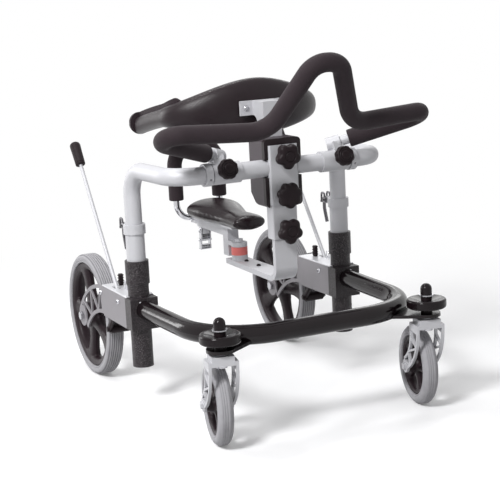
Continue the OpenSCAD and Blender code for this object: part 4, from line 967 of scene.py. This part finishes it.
class TRAINER_OT_knobs(bpy.types.Operator):
    """Lobed knobs of the posts and the handlebar"""

    bl_idname = "trainer.knobs"
    bl_label = "Knobs"

    def execute(self, context):
        for node, seat, lines, lobes, share in POST_KNOBS:
            piece = mesh_piece(node + "_head", *knob(seat, -Y_AXIS, lines, lobes, share))
            put_as(piece, "black_plastic", node)
        for side, sign in SIDES:
            seat = BAR + metres(KNOB_X * sign, 0, 0) + KNOB_WAY * KNOB_SEAT * MM
            head = knob(seat, KNOB_WAY, BAR_KNOB, lobes=8, dip_share=0.55)
            piece = mesh_piece(side + "_bar_knob_head", *head)
            put_as(piece, "black_plastic", side + "_bar_knob")
        return {"FINISHED"}


# Wheels, in millimetres, with a caster's grooves in shares of a rear tyre's

CASTER_TURN = math.radians(11.5)
CASTER_AXIS = Vector((math.cos(CASTER_TURN), -math.sin(CASTER_TURN), 0))
REAR_TYRE = {"radius": 150, "bore": 129.7, "width": 40, "shoulder": 9, "pitch": 5.6}
CASTER_TYRE = {"radius": 87.5, "bore": 66.2, "width": 33, "shoulder": 13, "pitch": 5}
CASTER_GROOVE_W = 0.55
CASTER_GROOVE_DEPTH = 0.4
BEAD = ((3, 0), (0.8, 0.6), (0.2, 2), (0.2, 3.6), (0.9, 4.2), (0.1, 5))
SPOKE_TURN = 0.35
# Shares by which the grooves of the rear and caster tyres are painted darker: painted shade.
REAR_SHADE = 0.6
CASTER_SHADE = 0.2
REAR_STEPS = 144
CASTER_STEPS = 112
REAR_VOXEL = 2.6
CASTER_VOXEL = 1.7

# Across a groove, in shares of its width and its depth

GROOVE = ((-0.62, 0), (-0.5, 0.12), (-0.2, 1), (0.2, 1), (0.5, 0.12), (0.62, 0))


def tyre_profile(radius, bore, width, shoulder, pitch, grooves, groove_w, depth):
    """A closed line: bead, wall, shoulder and grooved tread."""
    half = width / 2
    line = [(-half + inward, bore + rise) for inward, rise in BEAD]
    line.append((-half, radius - shoulder))
    for k in range(1, 9):
        a = math.pi / 2 * k / 8
        line.append((-half + shoulder * (1 - math.cos(a)), radius - shoulder * (1 - math.sin(a))))
    cuts = []
    for i in range(grooves):
        x = (i - (grooves - 1) / 2) * pitch
        for out, down in GROOVE:
            cuts.append((x + out * groove_w, radius - down * depth))
    mirror = [(-x, r) for x, r in reversed(line)]
    return [p for p in line if p[0] < cuts[0][0]] + cuts + [p for p in mirror if p[0] > cuts[-1][0]]


def tyre(name, centre, axis, profile, radius, depth, shade, steps):
    """A tyre whose grooves are marked with shade, the share by which they are painted darker: painted shade
    in the grooves.
    """
    piece = mesh_piece(name, *turned(profile, centre, axis, steps), sharp=70)
    mark = piece.data.attributes.new("groove", "FLOAT", "POINT")
    for vertex, value in zip(piece.data.vertices, mark.data):
        out = vertex.co - centre
        out -= axis * out.dot(axis)
        value.value = shade if 0.5 * depth < radius - out.length / MM < 1.5 * depth else 0.0
    return piece


def spoked_rim(name, centre, axis, ring_line, hub_line, spoke, phase, voxel):
    """A rim, a hub and spokes that run into each other. A spoke is a list of reach, width and thickness."""
    skins = [turned(ring_line, centre, axis, 120), turned(hub_line, centre, axis, 64)]
    spokes = sizes().spokes
    for i in range(spokes):
        a = phase + 2 * math.pi * i / spokes
        way = Z_AXIS * math.cos(a) + axis.cross(Z_AXIS) * math.sin(a)
        side = axis.cross(way)
        rings = [oval(centre + way * r * MM, side, axis, w * MM, t * MM, 28, 0.8) for r, w, t in spoke]
        skins.append(lofted(rings))
    piece = mesh_piece(name, *together(*skins))
    blend = piece.modifiers.new("blend", "REMESH")
    blend.mode = "VOXEL"
    blend.voxel_size = voxel * MM
    blend.use_smooth_shade = True
    soft = piece.modifiers.new("soft", "SMOOTH")
    soft.factor = 0.5
    soft.iterations = 5
    return baked(piece)


REAR_RING = mirrored_line([(-17, 129.3), (-17, 125), (-15.6, 121), (-14, 116), (-9, 112.5), (0, 111.2)])
REAR_HUB = mirrored_line([(-28.5, 0), (-28.5, 22), (-27, 24), (-22, 28), (-10, 31)])
REAR_SPOKE = [
    (14, 42, 34), (30, 42, 30), (48, 36, 24), (70, 34, 21), (92, 38, 22), (108, 48, 25), (120, 60, 28),
]
CASTER_RING = mirrored_line([(-12.5, 65.8), (-12.5, 62.5), (-11.2, 58.5), (-8, 56), (0, 55)])
CASTER_HUB = mirrored_line([(-25, 0), (-25, 13), (-24, 14.5), (-12, 17), (-6, 20)])
CASTER_SPOKE = [(8, 24, 22), (18, 23, 18), (28, 19, 15), (42, 20, 14), (52, 25, 16), (60, 32, 17)]


class TRAINER_OT_wheels(bpy.types.Operator):
    """Grooved tyres and spoked rims of the rear wheels and the casters"""

    bl_idname = "trainer.wheels"
    bl_label = "Wheels"

    def execute(self, context):
        s = sizes()
        wide, deep = s.groove_w / MM, s.groove_depth / MM
        fine, shallow = wide * CASTER_GROOVE_W, deep * CASTER_GROOVE_DEPTH
        rear = tyre_profile(**REAR_TYRE, grooves=s.rear_grooves, groove_w=wide, depth=deep)
        small = tyre_profile(**CASTER_TYRE, grooves=s.caster_grooves, groove_w=fine, depth=shallow)
        rear_tread = (X_AXIS, rear, REAR_TYRE["radius"], deep, REAR_SHADE, REAR_STEPS)
        small_tread = (CASTER_AXIS, small, CASTER_TYRE["radius"], shallow, CASTER_SHADE, CASTER_STEPS)
        rear_rim = (X_AXIS, REAR_RING, REAR_HUB, REAR_SPOKE)
        small_rim = (CASTER_AXIS, CASTER_RING, CASTER_HUB, CASTER_SPOKE)
        for side, sign in SIDES:
            for name, tread, rim, phase, voxel in (
                (side + "_rear", rear_tread, rear_rim, SPOKE_TURN * sign, REAR_VOXEL),
                (side + "_caster", small_tread, small_rim, SPOKE_TURN, CASTER_VOXEL),
            ):
                centre = middle_of(name + "_tyre")
                put_as(tyre(name + "_tread", centre, *tread), "tyre_rubber", name + "_tyre")
                spokes = spoked_rim(name + "_spokes", centre, *rim, phase, voxel)
                put_as(spokes, "rim_plastic", name + "_rim")
        return {"FINISHED"}


# Geometry node trees for what repeats

class CopyTree(Nodes):
    """A geometry node tree that puts copies of a shape on points."""

    def __init__(self, name, **sockets):
        super().__init__(bpy.data.node_groups.new(name, "GeometryNodeTree"))
        face = self.tree.interface
        face.new_socket("Geometry", in_out="OUTPUT", socket_type="NodeSocketGeometry")
        for label, kind in {"Geometry": "Geometry", "Finish": "Material", **sockets}.items():
            face.new_socket(label, in_out="INPUT", socket_type="NodeSocket" + kind)
        self.start = self.tree.nodes.new("NodeGroupInput")

    def given(self, label):
        return Wire(self, self.start.outputs[label])

    def vector(self, x, y, z):
        return self.add("ShaderNodeCombineXYZ", {}, {"X": x, "Y": y, "Z": z})

    def ball(self, rings, scale):
        """A ball of 1 m, scaled."""
        sphere = self.add("GeometryNodeMeshUVSphere", {}, {"Segments": 24, "Rings": rings, "Radius": 0.5})
        return self.add("GeometryNodeTransform", {}, {"Geometry": sphere, "Scale": scale})

    def smooth(self, mesh):
        return self.add("GeometryNodeSetShadeSmooth", {}, {"Geometry": mesh, "Shade Smooth": True})

    def copies(self, shape, points, **inputs):
        """Plain copies of a shape on points."""
        inputs = {"Points": points, "Instance": shape, **inputs}
        set_out = self.add("GeometryNodeInstanceOnPoints", {}, inputs)
        return self.add("GeometryNodeRealizeInstances", {}, {0: set_out})

    def close(self, mesh):
        """Ends the tree with the mesh in the given finish."""
        shown = self.add("GeometryNodeSetMaterial", {}, {"Geometry": mesh, "Material": self.given("Finish")})
        self.plug(self.tree.nodes.new("NodeGroupOutput").inputs[0], shown)
        return self

    def made(self, name, places, look, **values):
        """A piece with one copy at each place. A place is a point and the way it faces."""
        mesh = bpy.data.meshes.new(name)
        mesh.from_pydata([tuple(point) for point, _ in places], [], [])
        facing = mesh.attributes.new("facing", "FLOAT_VECTOR", "POINT")
        for item, (_, way) in zip(facing.data, places):
            item.vector = way
        piece = add_object(name, mesh)
        modifier = piece.modifiers.new("copies", "NODES")
        modifier.node_group = self.tree
        values = {"Finish": finish(look), **values}
        for item in self.tree.interface.items_tree:
            if item.in_out == "INPUT" and item.name in values:
                modifier[item.identifier] = values[item.name]
        baked(piece)
        piece.data.set_sharp_from_angle(angle=math.radians(40))
        return piece


def screw_tree():
    """Round screw heads with a hexagon socket, each facing the way that its point gives."""
    tree = CopyTree("screw_heads", Diameter="Float", Height="Float")
    wide, high = tree.given("Diameter"), tree.given("Height")
    dome = tree.ball(12, tree.vector(wide, wide, high * 2.0))
    bit = tree.add(
        "GeometryNodeMeshCylinder", {}, {"Vertices": 6, "Radius": wide * 0.25, "Depth": high * 1.2}
    )
    lift = tree.vector(0.0, 0.0, high * 1.1)
    socket = tree.add("GeometryNodeTransform", {}, {"Geometry": bit, "Translation": lift})
    cut = {"operation": "DIFFERENCE", "solver": "EXACT"}
    head = tree.add("GeometryNodeMeshBoolean", cut, {"Mesh 1": dome, "Mesh 2": socket})
    way = tree.add("GeometryNodeInputNamedAttribute", {"data_type": "FLOAT_VECTOR"}, {"Name": "facing"})
    turn = tree.add("FunctionNodeAlignRotationToVector", {"axis": "Z"}, {"Vector": way})
    return tree.close(tree.copies(tree.smooth(head), tree.given("Geometry"), Rotation=turn))


def rib_tree():
    """A stack of round ribs on each point."""
    tree = CopyTree("catch_ribs", Ribs="Int", Pitch="Float", Width="Float", Thick="Float")
    wide = tree.given("Width")
    rise = tree.vector(0.0, 0.0, tree.given("Pitch"))
    line = {"Count": tree.given("Ribs"), "Offset": rise}
    places = tree.add("GeometryNodeMeshLine", {"mode": "OFFSET"}, line)
    rib = tree.smooth(tree.ball(10, tree.vector(wide, wide, tree.given("Thick"))))
    return tree.close(tree.copies(tree.copies(rib, places), tree.given("Geometry")))


# Screws, bolts and pins, in millimetres

COLUMN = 262.0
PLATE_OUT = 33.0
BOLT_R = 4.0
BOLT_Z = 236.0
PIN_R = 5.0
PIN = (80.0, 222.0)
REAR_AXLE = (316.0, 150.0)
FORK_ARM_R = 172.0
FRONT_BOLT = 50.0
REAR_BOLT = REAR_AXLE[0] - math.sqrt(FORK_ARM_R**2 - (BOLT_Z - REAR_AXLE[1]) ** 2)
CHEST_SCREW = (38.0, -143.3, 668.0)
COLLAR_X = 174.0
COLLAR_R = 24.3
COLLAR_DROP = math.radians(20)
BLOCK_SCREWS = ((254.0, -32.0, 245.0), (271.0, -32.0, 245.0))
ARM_SCREWS = ((0.0, -88.0, 303.0), (0.0, -24.0, 303.0))


def beside(sign, x, y, z):
    """A place on the left, or on the right where sign is -1."""
    return metres(x * sign, y, z)


class TRAINER_OT_screws(bpy.types.Operator):
    """Bolts and pins of the fork plates, and screws of the chest bracket, arm, blocks and collars"""

    bl_idname = "trainer.screws"
    bl_label = "Screws"

    def execute(self, context):
        s = sizes()
        plate, chest, collar, block, shanks, pins = [], [], [], [], [], []
        down = -Y_AXIS * math.cos(COLLAR_DROP) - Z_AXIS * math.sin(COLLAR_DROP)
        for _, sign in SIDES:
            for y in (FRONT_BOLT, REAR_BOLT):
                middle = beside(sign, COLUMN, y, BOLT_Z)
                shanks.append(turned(rod_line(PLATE_OUT, BOLT_R), middle, X_AXIS, 24))
                plate += [(middle + way * PLATE_OUT * MM, way) for way in (-X_AXIS, X_AXIS)]
            pins.append(turned(rod_line(PLATE_OUT, PIN_R), beside(sign, COLUMN, *PIN), X_AXIS, 24))
            chest.append((beside(sign, *CHEST_SCREW), -Y_AXIS))
            collar.append((BAR + beside(sign, COLLAR_X, 0, 0) + down * COLLAR_R * MM, down))
            block += [(beside(sign, *place), -Y_AXIS) for place in BLOCK_SCREWS]
        arm = [(metres(*place), Z_AXIS) for place in ARM_SCREWS]
        rods = mesh_piece("bracket_shanks", *together(*shanks), sharp=40)
        put_as(rods, "bolt_steel", "bracket_bolts")
        put(mesh_piece("brake_pins", *together(*pins), sharp=40), "plate_grey", "base")
        rows = (
            ("bracket_screws", plate, "bolt_steel", s.plate_screw, 0.34, "base", "steel", ()),
            ("chest_screws", chest, "bolt_steel", s.plate_screw, 0.36, "chest", "steel", ["chest_bolts"]),
            (
                "saddle_arm_screws", arm, "black_plastic", s.arm_screw, 0.42, "saddle_arm",
                "black_plastic", (),
            ),
            ("block_screws", block, "bolt_steel", s.block_screw, 0.3, "base", "steel", ()),
            ("collar_screws", collar, "dark_steel", s.set_screw, 0.2, "upper_frame", "steel", ()),
        )
        tree = screw_tree()
        for name, places, look, wide, high_share, body, slot, nodes in rows:
            piece = tree.made(name, places, look, Diameter=wide, Height=wide * high_share)
            put(piece, look, body, nodes)
        return {"FINISHED"}


# Brakes, in millimetres

LEVER_LEAN = math.radians(36.5)
LEVER_WAY = Vector((0, math.sin(LEVER_LEAN), math.cos(LEVER_LEAN)))
LEVER_X = 276.0
LEVER_LEN = 436.0
ROD_FROM = 16.0
GRIP_LEN = 60.0
GRIP_LINE = [
    (0, 4.8), (0, 10.2), (0.8, 11.4), (3, 12), (4, 12), (4.6, 11.2), (6, 11.2), (6.6, 12), (34, 12.4),
    (50, 13), (55, 12.9), (58.5, 11.6), (61, 9), (62.4, 5), (62.8, 0), (60.4, 0), (60.4, 4.8),
]
CATCH = (259.0, 121.7, 257.0)
CATCH_CORE = ((0, 9), (0.6, 10), (26, 10), (27, 9))
CATCH_DEEPER = 2.0
RIB_FROM = 5.0
RIB_W = 15.5
RIB_T = 4.5
LOOP = (266.0, 69.7, 257.0)
LOOP_CORNERS = ((-6, 0), (-6, 20), (6, 20), (6, 0))
LOOP_BEND = 5.5
LOOP_WIRE = 3.0


def part_of(name, node, point, way):
    """The part of a CAD node past a plane, on the side that way points to, closed at the cut."""
    mesh = NODES[node].data.copy()
    work = merged(mesh, CAD_MERGE)
    everything = work.verts[:] + work.edges[:] + work.faces[:]
    made = bmesh.ops.bisect_plane(work, geom=everything, plane_co=point, plane_no=way, clear_inner=True)
    rim = [item for item in made["geom_cut"] if isinstance(item, bmesh.types.BMEdge)]
    bmesh.ops.holes_fill(work, edges=rim, sides=0)
    bmesh.ops.remove_doubles(work, verts=work.verts, dist=POINT_MERGE)
    bmesh.ops.recalc_face_normals(work, faces=work.faces)
    written(work, mesh)
    mesh.set_sharp_from_angle(angle=math.radians(35))
    return add_object(name, mesh)


def catch_core(foot):
    rings = []
    for rise, wide in CATCH_CORE:
        place = foot + metres(0, 0, rise)
        rings.append(oval(place, X_AXIS, Y_AXIS, wide * MM, (wide + CATCH_DEEPER) * MM, 28, 0.55))
    return lofted(rings)


def catch_loop(foot):
    corners = [foot + metres(0, *corner) for corner in LOOP_CORNERS]
    path = bent_path(corners, [LOOP_BEND * MM] * 2, spacing=0.003)
    return strip(path, X_AXIS, LOOP_WIRE * MM, LOOP_WIRE * MM, 16, 1.0)


class TRAINER_OT_brakes(bpy.types.Operator):
    """Lever rods, brake arms, grips, and catches with ribs and loops"""

    bl_idname = "trainer.brakes"
    bl_label = "Brakes"

    def execute(self, context):
        s = sizes()
        ribs, cores, loops = [], [], []
        for side, sign in SIDES:
            node = side + "_brake_lever"
            foot = beside(sign, LEVER_X, *PIN)
            cut = foot + LEVER_WAY * ROD_FROM * MM
            put_as(part_of(side + "_lever_rod", node, cut, LEVER_WAY), "silver_coat", node)
            arm = part_of(side + "_brake_arm", node, cut, -LEVER_WAY)
            put(arm, "black_plastic", BODY_OF[node])
            grip_from = foot + LEVER_WAY * (LEVER_LEN - GRIP_LEN) * MM
            grip = mesh_piece(side + "_grip", *turned(GRIP_LINE, grip_from, LEVER_WAY, 48), sharp=50)
            put_as(grip, "grip_rubber", side + "_brake_grip")
            catch = beside(sign, *CATCH)
            ribs.append((catch + metres(0, 0, RIB_FROM), Z_AXIS))
            cores.append(catch_core(catch))
            loops.append(catch_loop(beside(sign, *LOOP)))
        piece = mesh_piece("catch_cores", *together(*cores), sharp=45)
        put(piece, "black_plastic", "base", ["brake_catches"])
        put(mesh_piece("catch_loops", *together(*loops)), "bright_chrome", "base")
        stack = {"Ribs": s.catch_ribs, "Pitch": s.catch_pitch, "Width": RIB_W * MM, "Thick": RIB_T * MM}
        piece = rib_tree().made("catch_ribs", ribs, "black_plastic", **stack)
        put(piece, "black_plastic", "base")
        return {"FINISHED"}


# Height clamps, in millimetres. A handle's corners are back and up from its pin.

CAM = (54.5, 409.0)
HANDLE = ((15, -5), (15, -24), (4, -56))
HANDLE_LOOP = ((0, 0), (-1, 16), (14, 16), (15, -6))
HANDLE_BEND = 30.0
HANDLE_LOOP_BEND = 5.2
HANDLE_W = 8.5
HANDLE_LOOP_W = 4.0
HANDLE_T = 5.5
EYE_OUT = 7.5
EYE = mirrored_line([(-2, 0), (-2, 7), (-1.4, 7.8)])
CAM_PIN = rod_line(9.5, 3)


class TRAINER_OT_height_levers(bpy.types.Operator):
    """Bent handles of the height clamps"""

    bl_idname = "trainer.height_levers"
    bl_label = "Height levers"

    def execute(self, context):
        for side, sign in SIDES:
            pin = beside(sign, COLUMN, *CAM)
            route = [pin + metres(0, *corner) for corner in HANDLE]
            path = bent_path(route, [HANDLE_BEND * MM], spacing=0.003)
            skins = [strip(path, X_AXIS, HANDLE_W * MM, HANDLE_T * MM)]
            for out in (-EYE_OUT, EYE_OUT):
                eye = pin + metres(out, 0, 0)
                skins.append(turned(EYE, eye, X_AXIS, 32))
                route = [eye + metres(0, *corner) for corner in HANDLE_LOOP]
                path = bent_path(route, [HANDLE_LOOP_BEND * MM] * 2, spacing=0.003)
                skins.append(strip(path, X_AXIS, HANDLE_LOOP_W * MM, HANDLE_T * MM))
            for rod in (pin, pin + metres(0, *HANDLE[0])):
                skins.append(turned(CAM_PIN, rod, X_AXIS, 24))
            piece = mesh_piece(side + "_height_handle", *together(*skins), sharp=50)
            put_as(piece, "dark_steel", side + "_height_lever")
        return {"FINISHED"}


# Latch of the backrest, in millimetres

LATCH_EYE = 8.0
LATCH_HEAD = 4.0
CHEEK_T = 3.2
CHEEK_W = 14.5
CHEEK_BEND = 20.0
SECOND_PIN = (2.5, -24.0)


class TRAINER_OT_latch(bpy.types.Operator):
    """Chrome latch of the backrest: two bent cheeks, a foot, a roller and pin heads"""

    bl_idname = "trainer.latch"
    bl_label = "Backrest latch"

    def execute(self, context):
        low, high = [Vector(corner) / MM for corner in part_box("backrest_latch")]
        out = high.x - LATCH_HEAD
        y, z = low.y + LATCH_EYE, high.z - LATCH_EYE
        second = (y + SECOND_PIN[0], z + SECOND_PIN[1])
        skins = []
        for sign in (-1, 1):
            x = sign * (out - CHEEK_T / 2)
            route = [(y, z + 7), (y, z - 14), (y + 3, z - 28), (y + 3, low.z + 1.5)]
            path = bent_path([metres(x, *p) for p in route], [CHEEK_BEND * MM] * 2, spacing=0.002)
            skins.append(strip(path, Y_AXIS, CHEEK_W * MM, CHEEK_T * MM, 24, 0.5))
            for radius, at in ((6.4, (y, z)), (4.6, second)):
                line = [(-CHEEK_T, 0), (-CHEEK_T, radius - 2), (0, radius - 2), (0, radius)]
                line += [(1.4, radius * 0.97), (2.8, radius * 0.78), (3.7, radius * 0.4), (LATCH_HEAD, 0)]
                skins.append(turned(line, metres(sign * out, *at), X_AXIS * sign, 32))
        inner = out - CHEEK_T + 0.2
        for radius, at in ((2.5, (y, z)), (3.4, second)):
            skins.append(turned(rod_line(inner, radius), metres(0, *at), X_AXIS, 24))
        for wide, thick, at, way in (
            (24, 1.8, (y + 5, z - 15), Z_AXIS),
            (14, 2.6, (y - 2.5, low.z + 7.5), Z_AXIS),
            (14, 2.6, (y + 3.5, low.z + 1.5), Y_AXIS),
            (8, 2.2, (y + 8, low.z + 5), Z_AXIS),
        ):
            ends = [metres(-out, *at), metres(0, *at), metres(out, *at)]
            skins.append(strip(ends, way, wide * MM, thick * MM, 24, 0.5))
        piece = mesh_piece("backrest_clip", *together(*skins), sharp=45)
        put_as(piece, "bright_chrome", "backrest_latch")
        return {"FINISHED"}


# CAD nodes: eased copies and finishes

FLAT_ANGLE = math.radians(0.5)
EASED_ANGLE = math.radians(35)


def eased_copy(node, width):
    """A copy of a CAD node whose sharp edges are rounded."""
    mesh = NODES[node].data.copy()
    work = merged(mesh, CAD_MERGE)
    bmesh.ops.dissolve_limit(
        work, angle_limit=FLAT_ANGLE, use_dissolve_boundaries=False, verts=work.verts, edges=work.edges
    )
    joined = [edge for edge in work.edges if len(edge.link_faces) == 2]
    bmesh.ops.bevel(
        work,
        geom=[edge for edge in joined if edge.calc_face_angle(0) > EASED_ANGLE],
        offset=width,
        offset_type="OFFSET",
        segments=2,
        profile=0.5,
        affect="EDGES",
        clamp_overlap=True,
    )
    bmesh.ops.triangulate(work, faces=[face for face in work.faces if len(face.verts) > 4])
    written(work, mesh)
    piece = add_object(node + "_eased", mesh)
    modifier = piece.modifiers.new("even", "WEIGHTED_NORMAL")
    modifier.keep_sharp = True
    return piece


LOOKS = {
    "base_tube": "gloss_black_coat",
    "caster_plates": "gloss_black_coat",
    "columns": "grained_black_coat",
    "column_blocks": "grained_black_coat",
    "fork_plates": "plate_grey",
    "bracket_covers": "bright_metal",
    "bracket_bolts": "bolt_steel",
    "rear_axles": "bolt_steel",
    "kingpins": "bolt_steel",
    "chest_bolts": "bolt_steel",
    "brake_catches": "black_plastic",
    "bumper_spacers": "black_plastic",
    "cap_nuts": "gloss_plastic",
    "chest_housing": "housing_plastic",
    "saddle_swivel": "red_rubber",
    "backrest_hoop": "bright_chrome",
    "backrest_latch": "bright_chrome",
}
SIDE_LOOKS = {
    "brake_roller": "black_plastic",
    "bumper": "gloss_plastic",
    "swivel_lock": "black_plastic",
}
EASED = (
    "column_blocks", "fork_plates", "bracket_covers", "centre_sleeve", "chest_housing", "saddle_arm",
    "saddle_post", "chest_post", "saddle_carrier", "height_collars", "bar_collars", "bar_fittings",
)
SIDE_EASED = ("caster_fork", "swivel_lock")


def look_of(node):
    if node in LOOKS:
        return LOOKS[node]
    for side, _ in SIDES:
        kind = node.removeprefix(side + "_")
        if kind != node and kind in SIDE_LOOKS:
            return SIDE_LOOKS[kind]
    return "silver_coat"


class TRAINER_OT_finishes(bpy.types.Operator):
    """Finish on every CAD node"""

    bl_idname = "trainer.finishes"
    bl_label = "Finishes"

    def execute(self, context):
        for name, node in NODES.items():
            node.data.materials.clear()
            node.data.materials.append(finish(look_of(name)))
        return {"FINISHED"}


class TRAINER_OT_eased_edges(bpy.types.Operator):
    """Plates, blocks, posts and forks with rounded edges"""

    bl_idname = "trainer.eased_edges"
    bl_label = "Eased edges"

    def execute(self, context):
        names = list(EASED) + [side + "_" + kind for side, _ in SIDES for kind in SIDE_EASED]
        for name in names:
            put_as(eased_copy(name, sizes().edge), look_of(name), name)
        return {"FINISHED"}


# Stage, in metres and watts

WORLD_LIGHT = 0.34
FLOOR_R = 30.0
FLOOR_SIDES = 48
FLOOR_GLOW = 0.13
FLOOR_FADE = (0.7, 1.9)
LAMPS = (
    ("left_softbox", (-2.2, -1.5, 2.4), (0, -0.1, 0.4), (0.7, 0.7), 98),
    ("top_strip", (-0.3, 0.6, 2.6), (0, -0.1, 0.4), (2.4, 0.1), 25),
    ("back_softbox", (1.9, 2.1, 1.7), (0, 0, 0.4), (1.2, 1.2), 10),
    ("rim_softbox", (-1.9, 2.3, 1.1), (0, 0, 0.5), (0.8, 1.4), 26),
)
CAMERA_LENS = 96.57
CAMERA_PLACE = Vector((-1.2938, -2.7853, 0.9338))
CAMERA_RIGHT = Vector((0.8988, -0.4354, -0.0500))
CAMERA_BACK = Vector((-0.4189, -0.8870, 0.1946))
WHITE = (1.0, 1.0, 1.0)


def white_to_camera(nodes, shade, light):
    """The shade for the camera and in reflections, and plain light elsewhere."""
    seen = nodes.add("ShaderNodeLightPath", {}, {}, "Is Camera Ray")
    for ray in ("Is Glossy Ray", "Is Transmission Ray"):
        seen = seen.larger(nodes.add("ShaderNodeLightPath", {}, {}, ray))
    return nodes.add("ShaderNodeMixShader", {}, {0: seen, 1: light, 2: shade})


class TRAINER_OT_stage(bpy.types.Operator):
    """Floor, light and camera"""

    bl_idname = "trainer.stage"
    bl_label = "Stage"

    def execute(self, context):
        scene = context.scene
        scene.view_settings.view_transform = "Standard"
        self.world(scene)
        self.floor()
        for lamp in LAMPS:
            self.lamp(*lamp)
        self.camera(scene)
        return {"FINISHED"}

    def world(self, scene):
        scene.world = bpy.data.worlds.new("studio")
        scene.world.use_nodes = True
        nodes = Nodes(scene.world.node_tree)
        nodes.tree.nodes.clear()
        light = nodes.add("ShaderNodeBackground", {}, {"Color": WHITE, "Strength": WORLD_LIGHT})
        white = nodes.add("ShaderNodeBackground", {}, {"Color": WHITE, "Strength": 1.0})
        end = nodes.tree.nodes.new("ShaderNodeOutputWorld")
        nodes.plug(end.inputs["Surface"], white_to_camera(nodes, white, light))

    def floor(self):
        turns = [2 * math.pi * k / FLOOR_SIDES for k in range(FLOOR_SIDES)]
        mesh = bpy.data.meshes.new("floor")
        rim = [(math.cos(a) * FLOOR_R, math.sin(a) * FLOOR_R, 0) for a in turns]
        mesh.from_pydata(rim, [], [tuple(range(FLOOR_SIDES))])
        floor = add_object("floor", mesh)
        f = Finish("pale_floor")
        f.surface(base_color=(0.88, 0.88, 0.89), roughness=0.9, specular_ior_level=0.1)
        away = f.add("ShaderNodeVectorMath", {"operation": "LENGTH"}, {0: f.place()}, "Value")
        white = f.add("ShaderNodeEmission", {}, {"Color": WHITE, "Strength": 1.0})
        faint = f.add("ShaderNodeEmission", {}, {"Color": WHITE, "Strength": FLOOR_GLOW})
        near = f.add("ShaderNodeAddShader", {}, {0: Wire(f, f.shader.outputs[0]), 1: faint})
        shade = f.add("ShaderNodeMixShader", {}, {0: away.step(*FLOOR_FADE), 1: near, 2: white})
        dim = f.add("ShaderNodeBsdfDiffuse", {}, {"Color": (0.5, 0.5, 0.5)})
        end = f.tree.nodes["Material Output"]
        f.plug(end.inputs["Surface"], white_to_camera(f, shade, dim))
        mesh.materials.append(f.material)

    def lamp(self, name, place, target, size, power):
        data = bpy.data.lights.new(name, "AREA")
        data.shape = "RECTANGLE"
        data.size, data.size_y = size
        data.energy = power
        lamp = bpy.data.objects.new(name, data)
        bpy.context.scene.collection.objects.link(lamp)
        lamp.location = place
        lamp.rotation_euler = (Vector(target) - Vector(place)).to_track_quat("-Z", "Y").to_euler()

    def camera(self, scene):
        data = bpy.data.cameras.new("photo")
        data.sensor_width = 36
        data.lens = CAMERA_LENS
        data.clip_end = 100
        camera = bpy.data.objects.new("photo", data)
        scene.collection.objects.link(camera)
        right = CAMERA_RIGHT.normalized()
        back = (CAMERA_BACK - right * CAMERA_BACK.dot(right)).normalized()
        turn = Matrix((right, back.cross(right), back)).transposed()
        camera.matrix_world = Matrix.Translation(CAMERA_PLACE) @ turn.to_4x4()
        scene.camera = camera


class TRAINER_PT_panel(bpy.types.Panel):
    bl_idname = "TRAINER_PT_panel"
    bl_label = "Gait trainer"
    bl_space_type = "VIEW_3D"
    bl_region_type = "UI"
    bl_category = "Trainer"

    def draw(self, context):
        for operator in OPERATORS:
            self.layout.operator(operator.bl_idname)
        for group in (context.scene.trainer_colours, context.scene.trainer_sizes):
            for name in group.__annotations__:
                self.layout.prop(group, name)


OPERATORS = (
    TRAINER_OT_stage,
    TRAINER_OT_finishes,
    TRAINER_OT_eased_edges,
    TRAINER_OT_wheels,
    TRAINER_OT_brakes,
    TRAINER_OT_height_levers,
    TRAINER_OT_latch,
    TRAINER_OT_knobs,
    TRAINER_OT_screws,
    TRAINER_OT_handlebar_foam,
    TRAINER_OT_backrest_foam,
    TRAINER_OT_chest_shell,
    TRAINER_OT_chest_liner,
    TRAINER_OT_saddle,
)
CLASSES = (TrainerColours, TrainerSizes, *OPERATORS, TRAINER_PT_panel)


def register():
    for cls in CLASSES:
        bpy.utils.register_class(cls)
    bpy.types.Scene.trainer_colours = PointerProperty(type=TrainerColours)
    bpy.types.Scene.trainer_sizes = PointerProperty(type=TrainerSizes)


def unregister():
    del bpy.types.Scene.trainer_sizes
    del bpy.types.Scene.trainer_colours
    for cls in reversed(CLASSES):
        bpy.utils.unregister_class(cls)


def main():
    register()
    for operator in OPERATORS:
        group, name = operator.bl_idname.split(".")
        getattr(getattr(bpy.ops, group), name)()


if __name__ == "__main__":
    main()
